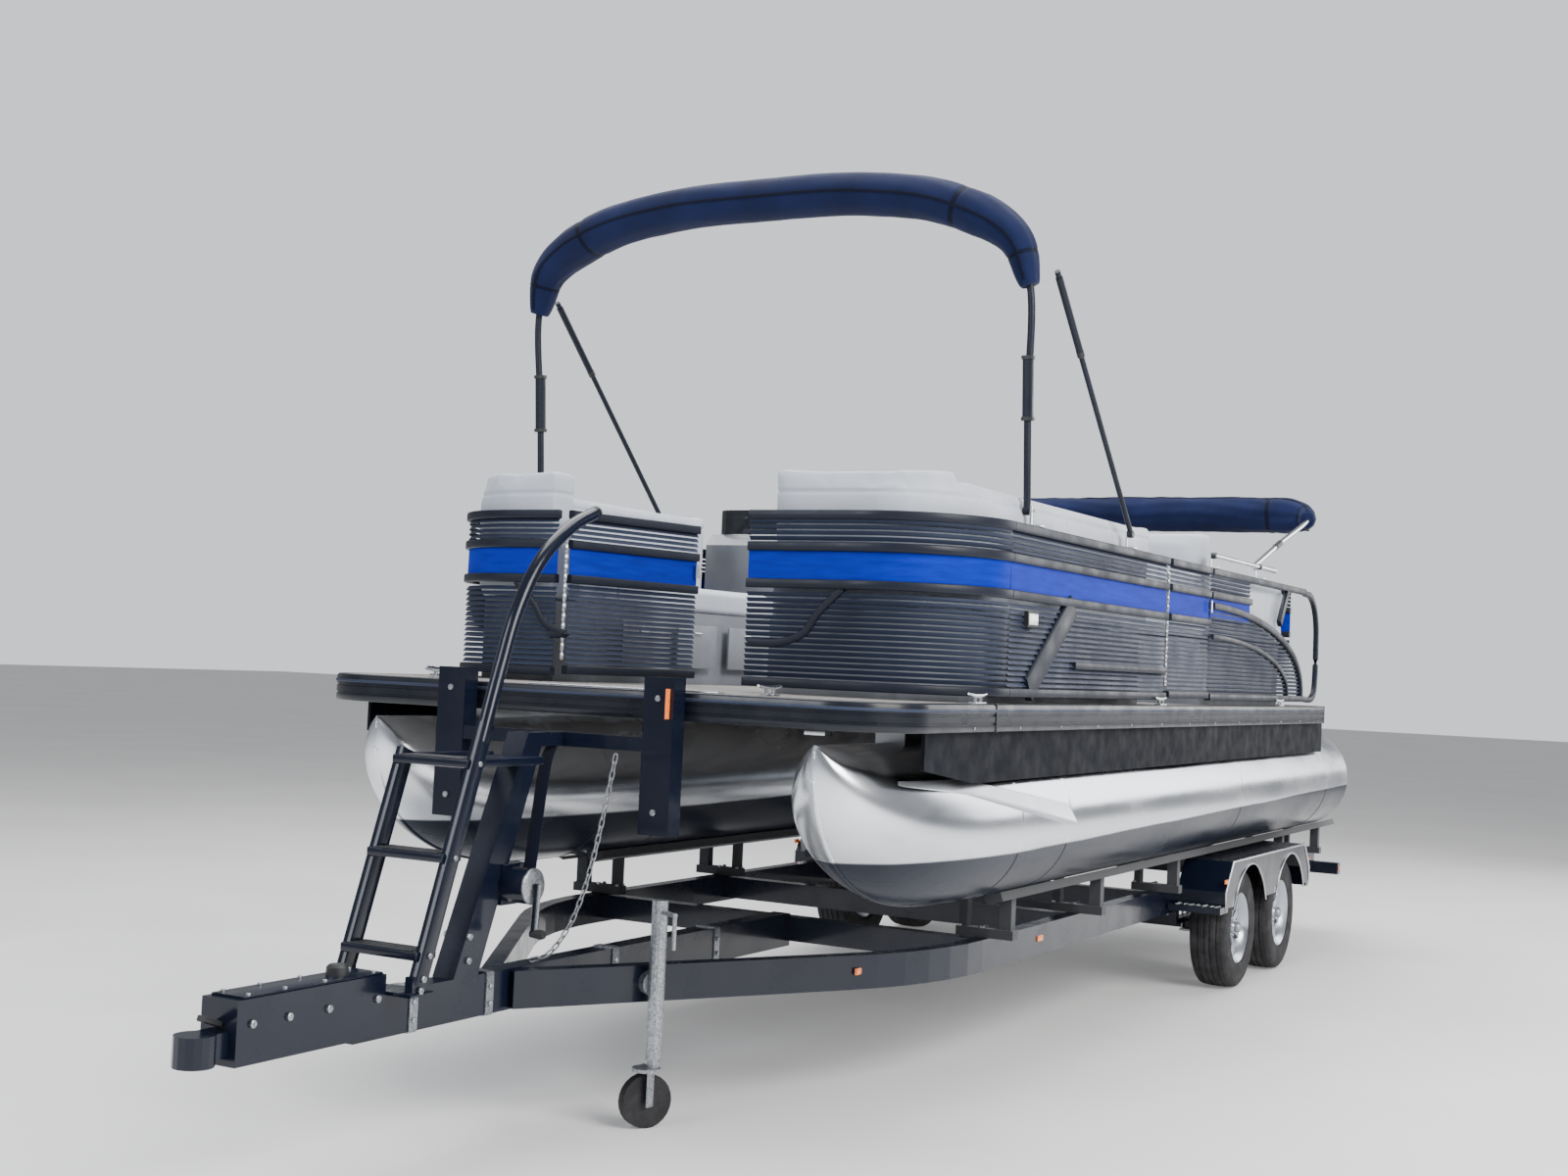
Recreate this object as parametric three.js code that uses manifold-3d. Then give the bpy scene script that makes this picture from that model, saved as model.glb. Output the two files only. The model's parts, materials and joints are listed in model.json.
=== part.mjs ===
// Pontoon boat on its tandem-axle trailer, in millimetres: +X to the bow, +Y to port, +Z up.
// Along the length, x = 0 is the deck's aft edge. The last lines move the whole model so that
// its origin is on the ground, under the middle of its bounding box.
import * as THREE from 'three';
import { mergeVertices } from 'three/addons/utils/BufferGeometryUtils.js';
import Module from 'manifold-3d';

const wasm = await Module();
wasm.setup();

// ---------- driving dimensions ----------
const GAP = 0.4; // between pieces that touch
const RUN = 6; // between pieces that move past each other

// deck
const DECK_LENGTH = 6254;
const DECK_HALF_BEAM = 1295;
const DECK_TOP = 1545;
const DECK_THICK = 22;
const DECK_CORNER = 310;
const TRIM_HEIGHT = 105;
const TRIM_WIDTH = 34;
const CHANNEL_HEIGHT = 85;
const CHANNEL_WIDTH = 44;
const CHANNEL_PITCH = 610;
const SKIRT_HEIGHT = 190;
const SKIRT_THICK = 14;

// pontoons
const TUBE_RADIUS = 317.5;
const TUBE_INSET = 323; // from the deck's side to the middle of a tube
const TUBE_Y = DECK_HALF_BEAM - TUBE_INSET;
const TUBE_BOTTOM = 752;
const TUBE_AFT = -770;
const NOSE_SETBACK = 69; // from the deck's bow edge to the stem
const NOSE_LENGTH = 1305;
const TUBE_NOSE_TIP = DECK_LENGTH - NOSE_SETBACK;
const TUBE_NOSE_START = TUBE_NOSE_TIP - NOSE_LENGTH;
const NOSE_TIP_DEPTH = 70;
const FIN_REACH = 16;

// fence
const FENCE_INSET = 50; // from the deck's side to the middle of the fence
const FENCE_Y = DECK_HALF_BEAM - FENCE_INSET;
const FENCE_RAIL = 34;
const FENCE_RAIL_HEIGHT = 36;
const FENCE_SPACER = 25;
const FENCE_TOP = 2252;
const FENCE_INFILL = 8;
const BAND_LOW = 1969;
const BAND_HIGH = 2112;
const BOW_LANDING = 649; // open deck ahead of the bow fence
const BOW_FENCE_X = DECK_LENGTH - BOW_LANDING;
const FOOT_HALF = 12; // half of the square foot under each post
const BOW_CORNER = 450;
const BOW_GATE_PORT = FENCE_Y - 915;
const BOW_GATE_STARBOARD = -(FENCE_Y - 705);
const BOW_GATE_OPEN_DEG = 81;
const SIDE_GATE_FRONT = 3140;
const SIDE_GATE_AFT = 2390;
const STERN_FENCE_X = 620;
const STERN_GATE_PORT = -420;
const STERN_GATE_STARBOARD = -(FENCE_Y - 185);
const STERN_LOOP_X = 45;
const STERN_LOOP_RADIUS = 260;
const ARCH_FOOT = 380;
const ARCH_CROWN = 2075;
const ARCH_BAND = 165;

// seats
const SEAT_TOP = 1990;
const SEAT_THICK = 110;
const SEAT_DEPTH = 445;
const BACK_THICK = 150;
const BACK_TOP = 2400;
const BOW_BACK_TOP = 2432;
const SEAT_OUTER_Y = FENCE_Y - 50;
const SEAT_ROUND = 20;
const BACK_ROUND = 25;
const BACK_INSET = 20;
const BACK_CORNER = 345;
const PORT_LOUNGE_AFT = SIDE_GATE_FRONT + 50;
const STARBOARD_LOUNGE_AFT = 3640;
const LOUNGE_FRONT = BOW_FENCE_X - 45;
const AFT_LOUNGE_AFT = 680;
const AFT_LOUNGE_END_Y = -340;
const AFT_LOUNGE_FRONT = 2335;
const AFT_BACK_TOP = 2455;
const AFT_SIDE_TOP = 2262;

// helm
const CONSOLE_AFT = 2830;
const CONSOLE_LENGTH = 560;
const CONSOLE_WIDTH = 600;
const CONSOLE_TOP = 2330;
const WINDSCREEN_TOP = 2458;
const DASH_RUN = 190;
const COLUMN_LEAN_DEG = 62;
const COLUMN_LENGTH = 170;
const HELM_WHEEL_RADIUS = 175;
const HELM_HUB_DEPTH = 44;
const HELM_SEAT_X = 2140;
const HELM_SEAT_Y = -(FENCE_Y - 400);
const HELM_SEAT_HALF = 245;

// bimini tops
const BIMINI_LEG = 15;
const BIMINI_Y = FENCE_Y - 49;
const BIMINI_EYE = 20;
const BRACE_Y = FENCE_Y - 3;
const BRACE_RADIUS = 12;
const EAR_THICK = 6;
const EAR_GAP = 2;
const BIMINI_FOOT_Z = 2318;
const FRONT_BOW_X = BOW_FENCE_X - 743;
const FRONT_BRACE_X = SIDE_GATE_FRONT + 550;
const FRONT_BOW_LEAN_DEG = 5;
const REAR_BOW_X = 1410;
const REAR_BRACE_X = 2335;
const REAR_BOW_RISE_DEG = 17;
const FRONT_LEG_LENGTH = 900;
const FRONT_CROWN = 1330;
const REAR_LEG_LENGTH = 1270;
const REAR_CROWN = 1420;
const BOOT_RADIUS = 105;
const FRONT_BRACE_DEG = 43;
const FRONT_BRACE_LENGTH = 1450;
const REAR_BRACE_LENGTH = 1250;

// outboard motor
const TRANSOM_X = -480;
const TRANSOM_TOP = 1470;
const TILT_X = -520;
const TILT_Z = 1530;
const STEER_X = -600;
const PROPELLER_Z = 770;
const PROPELLER_RADIUS = 178;

// trailer
const WHEEL_RADIUS = 327.5;
const TYRE_WIDTH = 205;
const TRACK_HALF = DECK_HALF_BEAM - 157.5;
const FRONT_AXLE_X = 1551;
const AXLE_SPREAD = 884;
const FRAME_BOTTOM = 430;
const FRAME_TOP = 560;
const RAIL_Y = TUBE_Y - 10;
const RAIL_WIDTH = 66;
const RAIL_TURN_DEG = 31;
const RAIL_MEET_X = DECK_LENGTH + 346;
const RAIL_BEND_RADIUS = 1500;
const TONGUE_WIDTH = 84;
const TONGUE_TOP = 565;
const TONGUE_BOTTOM = 424;
const TONGUE_FRONT = RAIL_MEET_X + 800;
const COUPLER_TIP = TONGUE_FRONT + 680;
const LIGHT_BAR_X = -1215;
const LIGHT_BAR_HALF = DECK_HALF_BEAM - 135;
const BUNK_OFFSET = 98;
const BUNK_WIDTH = 76;
const BUNK_THICK = 40;
const FENDER_TOP = 716;
const FENDER_WALL = 5;
const STOP_X = DECK_LENGTH + 64;
const STOP_Y = 430;
const JACK_ALONG = 520; // from the apex of the frame, back along the port rail
const JACK_PIVOT_Z = 500;
const JACK_WHEEL_RADIUS = 95;
const WINCH_POST_FOOT_X = STOP_X + 542;
const WINCH_POST_HEAD_X = STOP_X + 202;
const LADDER_FOOT_X = TONGUE_FRONT - 150;
const LADDER_HALF = 150;
const LADDER_LEAN = 0.345; // aft travel for each unit of height
const HANDRAIL_TOP = 2170;

const SIDES = { port: 1, starboard: -1 };

// ---------- materials ----------
const finish = (color, roughness, metalness) =>
  new THREE.MeshStandardMaterial({ color, roughness, metalness });
const brightAluminium = finish(0xb9c2cc, 0.3, 0.9);
const charcoalTrim = finish(0x39414f, 0.45, 0.2);
const fencePaint = finish(0x2b3242, 0.4, 0.3);
const deckVinyl = finish(0x8b8a86, 0.85, 0);
const seatVinyl = finish(0xc9ced6, 0.6, 0);
const seatBase = finish(0x8f98a8, 0.55, 0);
const smokedGlass = finish(0x30343c, 0.1, 0);
const blackPlastic = finish(0x15171b, 0.5, 0);
const navyCanvas = finish(0x22335f, 0.9, 0);
const brushedTube = finish(0xc4c8cc, 0.3, 0.9);
const motorPaint = finish(0x22262e, 0.25, 0.3);
const trailerPaint = finish(0x121a2c, 0.25, 0.4);
const bunkCarpet = finish(0x2a2c30, 0.95, 0);
const tyreRubber = finish(0x1b1c1e, 0.9, 0);
const zincSteel = finish(0x9aa0a6, 0.45, 0.8);

// ---------- solids ----------
// A geometry as a closed solid: corners merged, slivers dropped and faces turned outwards.
function toSolid(geometry) {
  const flat = geometry.index ? geometry.toNonIndexed() : geometry;
  const bare = new THREE.BufferGeometry();
  bare.setAttribute('position', flat.getAttribute('position').clone());
  const merged = mergeVertices(bare, 1e-3);
  const corners = merged.index.array;
  const kept = [];
  for (let i = 0; i < corners.length; i += 3) {
    const [a, b, c] = corners.slice(i, i + 3);
    if (a !== b && b !== c && c !== a) kept.push([a, b, c]);
  }
  const build = (faces) => new wasm.Manifold(new wasm.Mesh({
    numProp: 3,
    vertProperties: merged.attributes.position.array,
    triVerts: new Uint32Array(faces.flat()),
  }));
  const solid = build(kept);
  return solid.volume() < 0 ? build(kept.map(([a, b, c]) => [a, c, b])) : solid;
}

function toGeometry(solid) {
  const { vertProperties, triVerts } = solid.getMesh();
  const geometry = new THREE.BufferGeometry();
  geometry.setAttribute('position', new THREE.BufferAttribute(vertProperties, 3));
  geometry.setIndex(new THREE.BufferAttribute(triVerts, 1));
  geometry.computeVertexNormals();
  return geometry;
}

const join = (...parts) =>
  toGeometry(parts.flat(Infinity).map(toSolid).reduce((a, b) => a.add(b)));
const cut = (body, ...tools) =>
  toGeometry(tools.flat(Infinity).map(toSolid).reduce((a, b) => a.subtract(b), toSolid(body)));
const mirrorY = (geometry) => geometry.clone().scale(1, -1, 1);
const rad = THREE.MathUtils.degToRad;

// ---------- shapes ----------
function box(x0, x1, y0, y1, z0, z1) {
  return new THREE.BoxGeometry(x1 - x0, y1 - y0, z1 - z0)
    .translate((x0 + x1) / 2, (y0 + y1) / 2, (z0 + z1) / 2);
}

// A rectangular bar from point p to point q: width across, height in its own upright plane.
function bar(p, q, width, height) {
  const from = new THREE.Vector3(...p);
  const to = new THREE.Vector3(...q);
  const along = to.clone().sub(from);
  const length = along.length();
  along.normalize();
  const up = Math.abs(along.z) > 0.99 ? new THREE.Vector3(1, 0, 0) : new THREE.Vector3(0, 0, 1);
  const side = new THREE.Vector3().crossVectors(up, along).normalize();
  const top = new THREE.Vector3().crossVectors(along, side);
  const middle = from.add(to).multiplyScalar(0.5);
  const turn = new THREE.Matrix4().makeBasis(along, side, top).setPosition(middle);
  return new THREE.BoxGeometry(length, width, height).applyMatrix4(turn);
}

// A round rod from p to q.
function rod(p, q, radius, sides = 10) {
  const from = new THREE.Vector3(...p);
  const to = new THREE.Vector3(...q);
  const along = to.clone().sub(from);
  const turn = new THREE.Quaternion()
    .setFromUnitVectors(new THREE.Vector3(0, 1, 0), along.clone().normalize());
  return new THREE.CylinderGeometry(radius, radius, along.length(), sides)
    .applyQuaternion(turn)
    .translate(...from.add(to).multiplyScalar(0.5));
}

// A round tube along a smooth curve through the points.
function pipe(points, radius, steps = 24, sides = 8) {
  const curve = new THREE.CatmullRomCurve3(
    points.map((p) => new THREE.Vector3(...p)), false, 'centripetal');
  return pipeAlong(curve, radius, steps, sides);
}

function pipeAlong(curve, radius, steps, sides) {
  const section = new THREE.Shape();
  for (let i = 0; i < sides; i++) {
    const a = (2 * Math.PI * i) / sides;
    const place = [radius * Math.cos(a), radius * Math.sin(a)];
    if (i) section.lineTo(...place);
    else section.moveTo(...place);
  }
  section.closePath();
  return new THREE.ExtrudeGeometry(section, {
    steps, extrudePath: curve, bevelEnabled: false,
  });
}

function outline(points) {
  return new THREE.Shape(points.map(([a, b]) => new THREE.Vector2(a, b)));
}

// A flat outline in plan (x, y), standing from z0 to z1.
function plan(points, z0, z1) {
  return new THREE.ExtrudeGeometry(outline(points), { depth: z1 - z0, bevelEnabled: false })
    .translate(0, 0, z0);
}

// A flat outline seen from the side (x, z), lying from y0 to y1.
function profile(points, y0, y1) {
  return new THREE.ExtrudeGeometry(outline(points), { depth: y1 - y0, bevelEnabled: false })
    .rotateX(Math.PI / 2)
    .translate(0, y1, 0);
}

// Points on an arc in a plane, angles in degrees.
function arc(cx, cy, radius, from, to, steps = 6) {
  return Array.from({ length: steps + 1 }, (_, i) => {
    const a = rad(from + ((to - from) * i) / steps);
    return [cx + radius * Math.cos(a), cy + radius * Math.sin(a)];
  });
}

// A run of points moved sideways: positive to the left of its direction.
function offset(path, distance) {
  return path.map((p, i) => {
    const a = path[Math.max(i - 1, 0)];
    const b = path[Math.min(i + 1, path.length - 1)];
    const u = [p[0] - a[0], p[1] - a[1]];
    const v = [b[0] - p[0], b[1] - p[1]];
    const unit = ([x, y]) => {
      const l = Math.hypot(x, y) || 1;
      return [x / l, y / l];
    };
    const first = i === 0 ? unit(v) : unit(u);
    const second = i === path.length - 1 ? first : unit(v);
    const n = [-(first[1] + second[1]) / 2, (first[0] + second[0]) / 2];
    const k = distance / (n[0] * n[0] + n[1] * n[1]);
    return [p[0] + n[0] * k, p[1] + n[1] * k];
  });
}

const ribbon = (path, width) =>
  [...offset(path, width / 2), ...offset(path, -width / 2).reverse()];

// A wall of constant width that follows a path in plan.
const strip = (path, width, z0, z1) => plan(ribbon(path, width), z0, z1);

// A block with rounded edges all round, as on an upholstered cushion.
function cushion(x0, x1, y0, y1, z0, z1, round) {
  const corner = Math.min(1.6 * round, (x1 - x0) / 2 - round - 4, (y1 - y0) / 2 - round - 4);
  const base = roundedRectangle(x0 + round, x1 - round, y0 + round, y1 - round, corner);
  return padded(base, z0, z1, round);
}

function roundedRectangle(x0, x1, y0, y1, r) {
  return [
    ...arc(x1 - r, y1 - r, r, 0, 90, 3),
    ...arc(x0 + r, y1 - r, r, 90, 180, 3),
    ...arc(x0 + r, y0 + r, r, 180, 270, 3),
    ...arc(x1 - r, y0 + r, r, 270, 360, 3),
  ];
}

function padded(points, z0, z1, round) {
  return new THREE.ExtrudeGeometry(outline(points), {
    depth: z1 - z0 - 2 * round,
    bevelThickness: round,
    bevelSize: round,
    bevelSegments: 2,
  }).translate(0, 0, z0 + round);
}

// A body skinned over rings of points, all with the same count, closed by flat ends.
function loft(rings) {
  const count = rings[0].length;
  const vertices = rings.flat();
  const middle = (ring) => [0, 1, 2].map((k) => ring.reduce((s, p) => s + p[k], 0) / count);
  const faces = [];
  for (let i = 0; i + 1 < rings.length; i++) {
    for (let j = 0; j < count; j++) {
      const a = i * count + j;
      const b = i * count + ((j + 1) % count);
      faces.push(a, b, b + count, a, b + count, a + count);
    }
  }
  const caps = [[0, false], [(rings.length - 1) * count, true]];
  caps.forEach(([start, last]) => {
    const centre = vertices.length;
    vertices.push(middle(vertices.slice(start, start + count)));
    for (let j = 0; j < count; j++) {
      const a = start + j;
      const b = start + ((j + 1) % count);
      faces.push(...(last ? [centre, a, b] : [centre, b, a]));
    }
  });
  const geometry = new THREE.BufferGeometry();
  geometry.setAttribute('position', new THREE.Float32BufferAttribute(vertices.flat(), 3));
  geometry.setIndex(faces);
  return geometry;
}

const boat = new THREE.Group();
function add(name, geometry, material) {
  const mesh = new THREE.Mesh(toGeometry(toSolid(geometry)), material);
  mesh.name = name;
  boat.add(mesh);
  return mesh;
}

// ---------- pontoons ----------
const TUBE_Z = TUBE_BOTTOM + TUBE_RADIUS;
const TUBE_TOP = TUBE_Z + TUBE_RADIUS;
const DECK_BOTTOM = DECK_TOP - DECK_THICK;
const CHANNEL_BOTTOM = DECK_BOTTOM - CHANNEL_HEIGHT;

// One ring round the tube. In the nose the sides close in on an upright stem while the keel
// sweeps up to meet the top line.
function tubeRing(x, sides = 20) {
  const t = THREE.MathUtils.clamp((x - TUBE_NOSE_START) / (TUBE_NOSE_TIP - TUBE_NOSE_START), 0, 1);
  const half = TUBE_RADIUS * Math.max(Math.sqrt(1 - t ** 2.4), 0.05);
  const low = TUBE_BOTTOM + (TUBE_TOP - NOSE_TIP_DEPTH - TUBE_BOTTOM) * (1 - Math.sqrt(1 - t ** 3.2));
  const middle = (low + TUBE_TOP) / 2;
  const height = (TUBE_TOP - low) / 2;
  const power = 1 + 0.35 * t;
  return Array.from({ length: sides }, (_, i) => {
    const a = (2 * Math.PI * (i + 0.5)) / sides;
    const side = Math.sign(Math.cos(a)) * Math.abs(Math.cos(a)) ** power;
    return [x, TUBE_Y + half * side, middle + height * Math.sin(a)];
  });
}

function pontoon() {
  const noseSteps = 10;
  const noseXs = Array.from({ length: noseSteps + 1 }, (_, i) =>
    TUBE_NOSE_START + (TUBE_NOSE_TIP - TUBE_NOSE_START) * Math.sin((Math.PI / 2) * (i / noseSteps)));
  const body = loft([TUBE_AFT, ...noseXs].map((x) => tubeRing(x)));
  const riser = box(TUBE_AFT + 200, TUBE_NOSE_START + 700, TUBE_Y - 60, TUBE_Y + 60,
    TUBE_TOP - 40, CHANNEL_BOTTOM - GAP);
  const fin = plan([
    [TUBE_NOSE_TIP - 160, TUBE_Y + 120],
    [TUBE_NOSE_START + 500, TUBE_Y + TUBE_RADIUS - 10],
    [TUBE_NOSE_START - 400, TUBE_Y + TUBE_RADIUS + FIN_REACH],
    [TUBE_NOSE_START - 380, TUBE_Y + TUBE_RADIUS - 90],
    [TUBE_NOSE_START + 500, TUBE_Y + TUBE_RADIUS - 150],
  ], TUBE_Z + 60, TUBE_Z + 72);
  return join(body, riser, fin);
}

const pontoonBody = pontoon();
add('port_pontoon', pontoonBody, brightAluminium);
add('starboard_pontoon', mirrorY(pontoonBody), brightAluminium);

// ---------- deck ----------
function deckOutline(inset) {
  const x1 = DECK_LENGTH - inset;
  const y1 = DECK_HALF_BEAM - inset;
  const r = DECK_CORNER - inset;
  return [
    [inset, -y1],
    ...arc(x1 - r, -y1 + r, r, 270, 360, 7),
    ...arc(x1 - r, y1 - r, r, 0, 90, 7),
    [inset, y1],
  ];
}

const channelCount = Math.floor((DECK_LENGTH - DECK_CORNER - 400) / CHANNEL_PITCH);
const channels = Array.from({ length: channelCount + 1 }, (_, i) => {
  const x = 200 + i * CHANNEL_PITCH;
  const half = DECK_HALF_BEAM - TRIM_WIDTH - SKIRT_THICK - 2 * GAP;
  return box(x, x + CHANNEL_WIDTH, -half, half, CHANNEL_BOTTOM, DECK_BOTTOM + 1);
});
add('deck', join(plan(deckOutline(TRIM_WIDTH + GAP), DECK_BOTTOM, DECK_TOP), channels), deckVinyl);
add('deck_edge_trim', cut(
  plan(deckOutline(0), DECK_TOP - TRIM_HEIGHT, DECK_TOP - 1),
  plan(deckOutline(TRIM_WIDTH), DECK_TOP - TRIM_HEIGHT - 10, DECK_TOP + 10),
), charcoalTrim);

const SKIRT_TOP = DECK_TOP - TRIM_HEIGHT - GAP;
const skirtOuter = DECK_HALF_BEAM - TRIM_WIDTH;
const skirt = join(
  box(-120, DECK_LENGTH - DECK_CORNER - 40, skirtOuter - SKIRT_THICK, skirtOuter,
    SKIRT_TOP - SKIRT_HEIGHT + 60, SKIRT_TOP),
  profile([
    [-120, SKIRT_TOP - SKIRT_HEIGHT + 60],
    [-120, SKIRT_TOP - SKIRT_HEIGHT + 12],
    [DECK_LENGTH - DECK_CORNER - 500, SKIRT_TOP - SKIRT_HEIGHT],
    [DECK_LENGTH - DECK_CORNER - 40, SKIRT_TOP - SKIRT_HEIGHT + 60],
  ], skirtOuter - SKIRT_THICK, skirtOuter),
);
add('port_skirt', skirt, charcoalTrim);
add('starboard_skirt', mirrorY(skirt), charcoalTrim);

const POD_HALF = 270;
add('motor_pod', join(
  profile([
    [TRANSOM_X, TRANSOM_TOP - 520],
    [TRANSOM_X, TRANSOM_TOP],
    [TRANSOM_X + 45, TRANSOM_TOP],
    [TRANSOM_X + 60, CHANNEL_BOTTOM - 40],
    [160, CHANNEL_BOTTOM - GAP],
    [1500, CHANNEL_BOTTOM - GAP],
    [1500, CHANNEL_BOTTOM - 120],
    [900, TRANSOM_TOP - 440],
  ], -POD_HALF, POD_HALF),
), brightAluminium);

// ---------- fence ----------
const FENCE_BOTTOM = DECK_TOP + FENCE_SPACER;
const RAIL_LEVELS = [
  FENCE_BOTTOM + FENCE_RAIL_HEIGHT / 2, BAND_LOW, BAND_HIGH, FENCE_TOP - FENCE_RAIL_HEIGHT / 2,
];

// A fence panel on a path in plan: rails at their levels, louvred infill, and an upright at
// each place of `posts`, given as [x, y].
function fencePanel(path, posts, levels = RAIL_LEVELS) {
  const rails = levels.map((z) =>
    strip(path, FENCE_RAIL, z - FENCE_RAIL_HEIGHT / 2, z + FENCE_RAIL_HEIGHT / 2));
  const infill = strip(path, FENCE_INFILL, FENCE_BOTTOM + 5, FENCE_TOP - 5);
  const half = FENCE_RAIL / 2;
  const uprights = posts.map(([x, y]) =>
    box(x - half, x + half, y - half, y + half, FENCE_BOTTOM, FENCE_TOP));
  const feet = posts.map(([x, y]) =>
    box(x - FOOT_HALF, x + FOOT_HALF, y - FOOT_HALF, y + FOOT_HALF,
      DECK_TOP + GAP, FENCE_BOTTOM + 5));
  return [...rails, infill, ...uprights, ...feet];
}

// A saddle on the top rail with an upright ear, beside which a bimini tube turns on its pin.
// The ear stands outboard of a bow's leg and inboard of a brace.
function biminiFoot(x, y, radius) {
  const faces = y < BRACE_Y
    ? [y + radius + EAR_GAP, y + radius + EAR_GAP + EAR_THICK]
    : [y - radius - EAR_GAP - EAR_THICK, y - radius - EAR_GAP];
  return [
    box(x - 22, x + 22, faces[0], FENCE_Y + FENCE_RAIL / 2, FENCE_TOP - 5, FENCE_TOP + 12),
    box(x - 16, x + 16, ...faces, FENCE_TOP - 3, BIMINI_FOOT_Z + 14),
  ];
}

const half = FENCE_RAIL / 2;
const cornerX = BOW_FENCE_X - BOW_CORNER;
const CORNER_TAIL = 3; // straight run behind the rounded corner, to the middle of its post

function bowFence(gateEdge) {
  const path = [
    [BOW_FENCE_X, gateEdge + half],
    ...arc(cornerX, FENCE_Y - BOW_CORNER, BOW_CORNER, 0, 90, 8),
    [cornerX - CORNER_TAIL, FENCE_Y],
  ];
  const posts = [
    [BOW_FENCE_X, gateEdge + half],
    [cornerX - CORNER_TAIL, FENCE_Y],
  ];
  return fencePanel(path, posts);
}
add('port_bow_fence', join(bowFence(BOW_GATE_PORT)), fencePaint);
add('starboard_bow_fence', mirrorY(join(bowFence(-BOW_GATE_STARBOARD))), fencePaint);

const SIDE_PANEL_FRONT = cornerX - CORNER_TAIL - half - GAP;
function sideFence(aft) {
  const ends = [[SIDE_PANEL_FRONT - half, FENCE_Y], [aft + half, FENCE_Y]];
  return [
    ...fencePanel(ends, ends),
    ...biminiFoot(FRONT_BOW_X, BIMINI_Y, BIMINI_LEG),
    ...biminiFoot(FRONT_BRACE_X, BRACE_Y, BRACE_RADIUS),
  ];
}
add('port_side_fence', join(sideFence(SIDE_GATE_FRONT)), fencePaint);
add('starboard_side_fence', mirrorY(join(sideFence(SIDE_GATE_AFT + GAP))), fencePaint);

// The aft panel: a top rail that turns down to the deck in a loop, and under it a louvred
// quarter-arch that springs from the aft gate post.
const archRise = ARCH_CROWN - FENCE_BOTTOM;
const archRun = SIDE_GATE_AFT - FENCE_RAIL - ARCH_FOOT;
function archPoints(drop, steps = 12) {
  return Array.from({ length: steps + 1 }, (_, i) => {
    const a = (Math.PI / 2) * (i / steps);
    return [
      SIDE_GATE_AFT - FENCE_RAIL - (archRun - drop * 2.2) * Math.sin(a),
      FENCE_BOTTOM + (archRise - drop) * Math.cos(a) ** 0.8,
    ];
  });
}
const archTube = (drop, width) => profile([
  ...archPoints(drop),
  ...archPoints(drop + width).reverse(),
], FENCE_Y - half, FENCE_Y + half);

function aftFence() {
  const postX = SIDE_GATE_AFT - half;
  const top = FENCE_TOP - FENCE_RAIL_HEIGHT / 2;
  const r = STERN_LOOP_RADIUS;
  const loopPath = [
    [postX, top],
    ...arc(STERN_LOOP_X + r, top - r, r, 90, 180, 8),
    [STERN_LOOP_X, FENCE_BOTTOM],
  ];
  const louvre = [
    [SIDE_GATE_AFT - 5, FENCE_BOTTOM + 5],
    [SIDE_GATE_AFT - 5, FENCE_TOP - 5],
    [SIDE_GATE_AFT - 760, FENCE_TOP - 5],
    ...archPoints(FENCE_RAIL / 2).filter(([x]) => x < SIDE_GATE_AFT - 760),
  ];
  return [
    profile(ribbon(loopPath, FENCE_RAIL_HEIGHT), FENCE_Y - half, FENCE_Y + half),
    box(STERN_LOOP_X, postX, FENCE_Y - half, FENCE_Y + half,
      FENCE_BOTTOM, FENCE_BOTTOM + FENCE_RAIL_HEIGHT),
    box(postX - half, postX + half, FENCE_Y - half, FENCE_Y + half, FENCE_BOTTOM, FENCE_TOP),
    box(postX - 12, postX + 12, FENCE_Y - 12, FENCE_Y + 12, DECK_TOP + GAP, FENCE_BOTTOM + 5),
    box(STERN_LOOP_X + 10, STERN_LOOP_X + 34, FENCE_Y - 12, FENCE_Y + 12, DECK_TOP + GAP, FENCE_BOTTOM + 5),
    profile(louvre, FENCE_Y - FENCE_INFILL / 2, FENCE_Y + FENCE_INFILL / 2),
    archTube(0, FENCE_RAIL_HEIGHT),
    archTube(ARCH_BAND, FENCE_RAIL_HEIGHT * 1.6),
    bar([970, FENCE_Y, 2010], [800, FENCE_Y, top], FENCE_RAIL - 8, 60),
    ...biminiFoot(REAR_BOW_X, BIMINI_Y, BIMINI_LEG),
    ...biminiFoot(REAR_BRACE_X, BRACE_Y, BRACE_RADIUS),
  ];
}
// Each side of the rear bimini rests on a post that stands on the top rail.
const REST_X = 400;
const restTop = BIMINI_FOOT_Z + (REAR_BOW_X - REST_X) * Math.tan(rad(REAR_BOW_RISE_DEG))
  - BIMINI_LEG / Math.cos(rad(REAR_BOW_RISE_DEG)) - GAP - 5;
const restPost = [
  box(REST_X - 8, REST_X + 8, BIMINI_Y - 8, BIMINI_Y + 8, FENCE_TOP - 10, restTop),
  box(REST_X - 8, REST_X + 8, BIMINI_Y - 8, FENCE_Y, FENCE_TOP - 22, FENCE_TOP - 6),
];
const aftPanel = join(aftFence(), restPost);
add('port_aft_fence', aftPanel, fencePaint);
add('starboard_aft_fence', mirrorY(aftPanel), fencePaint);

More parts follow.
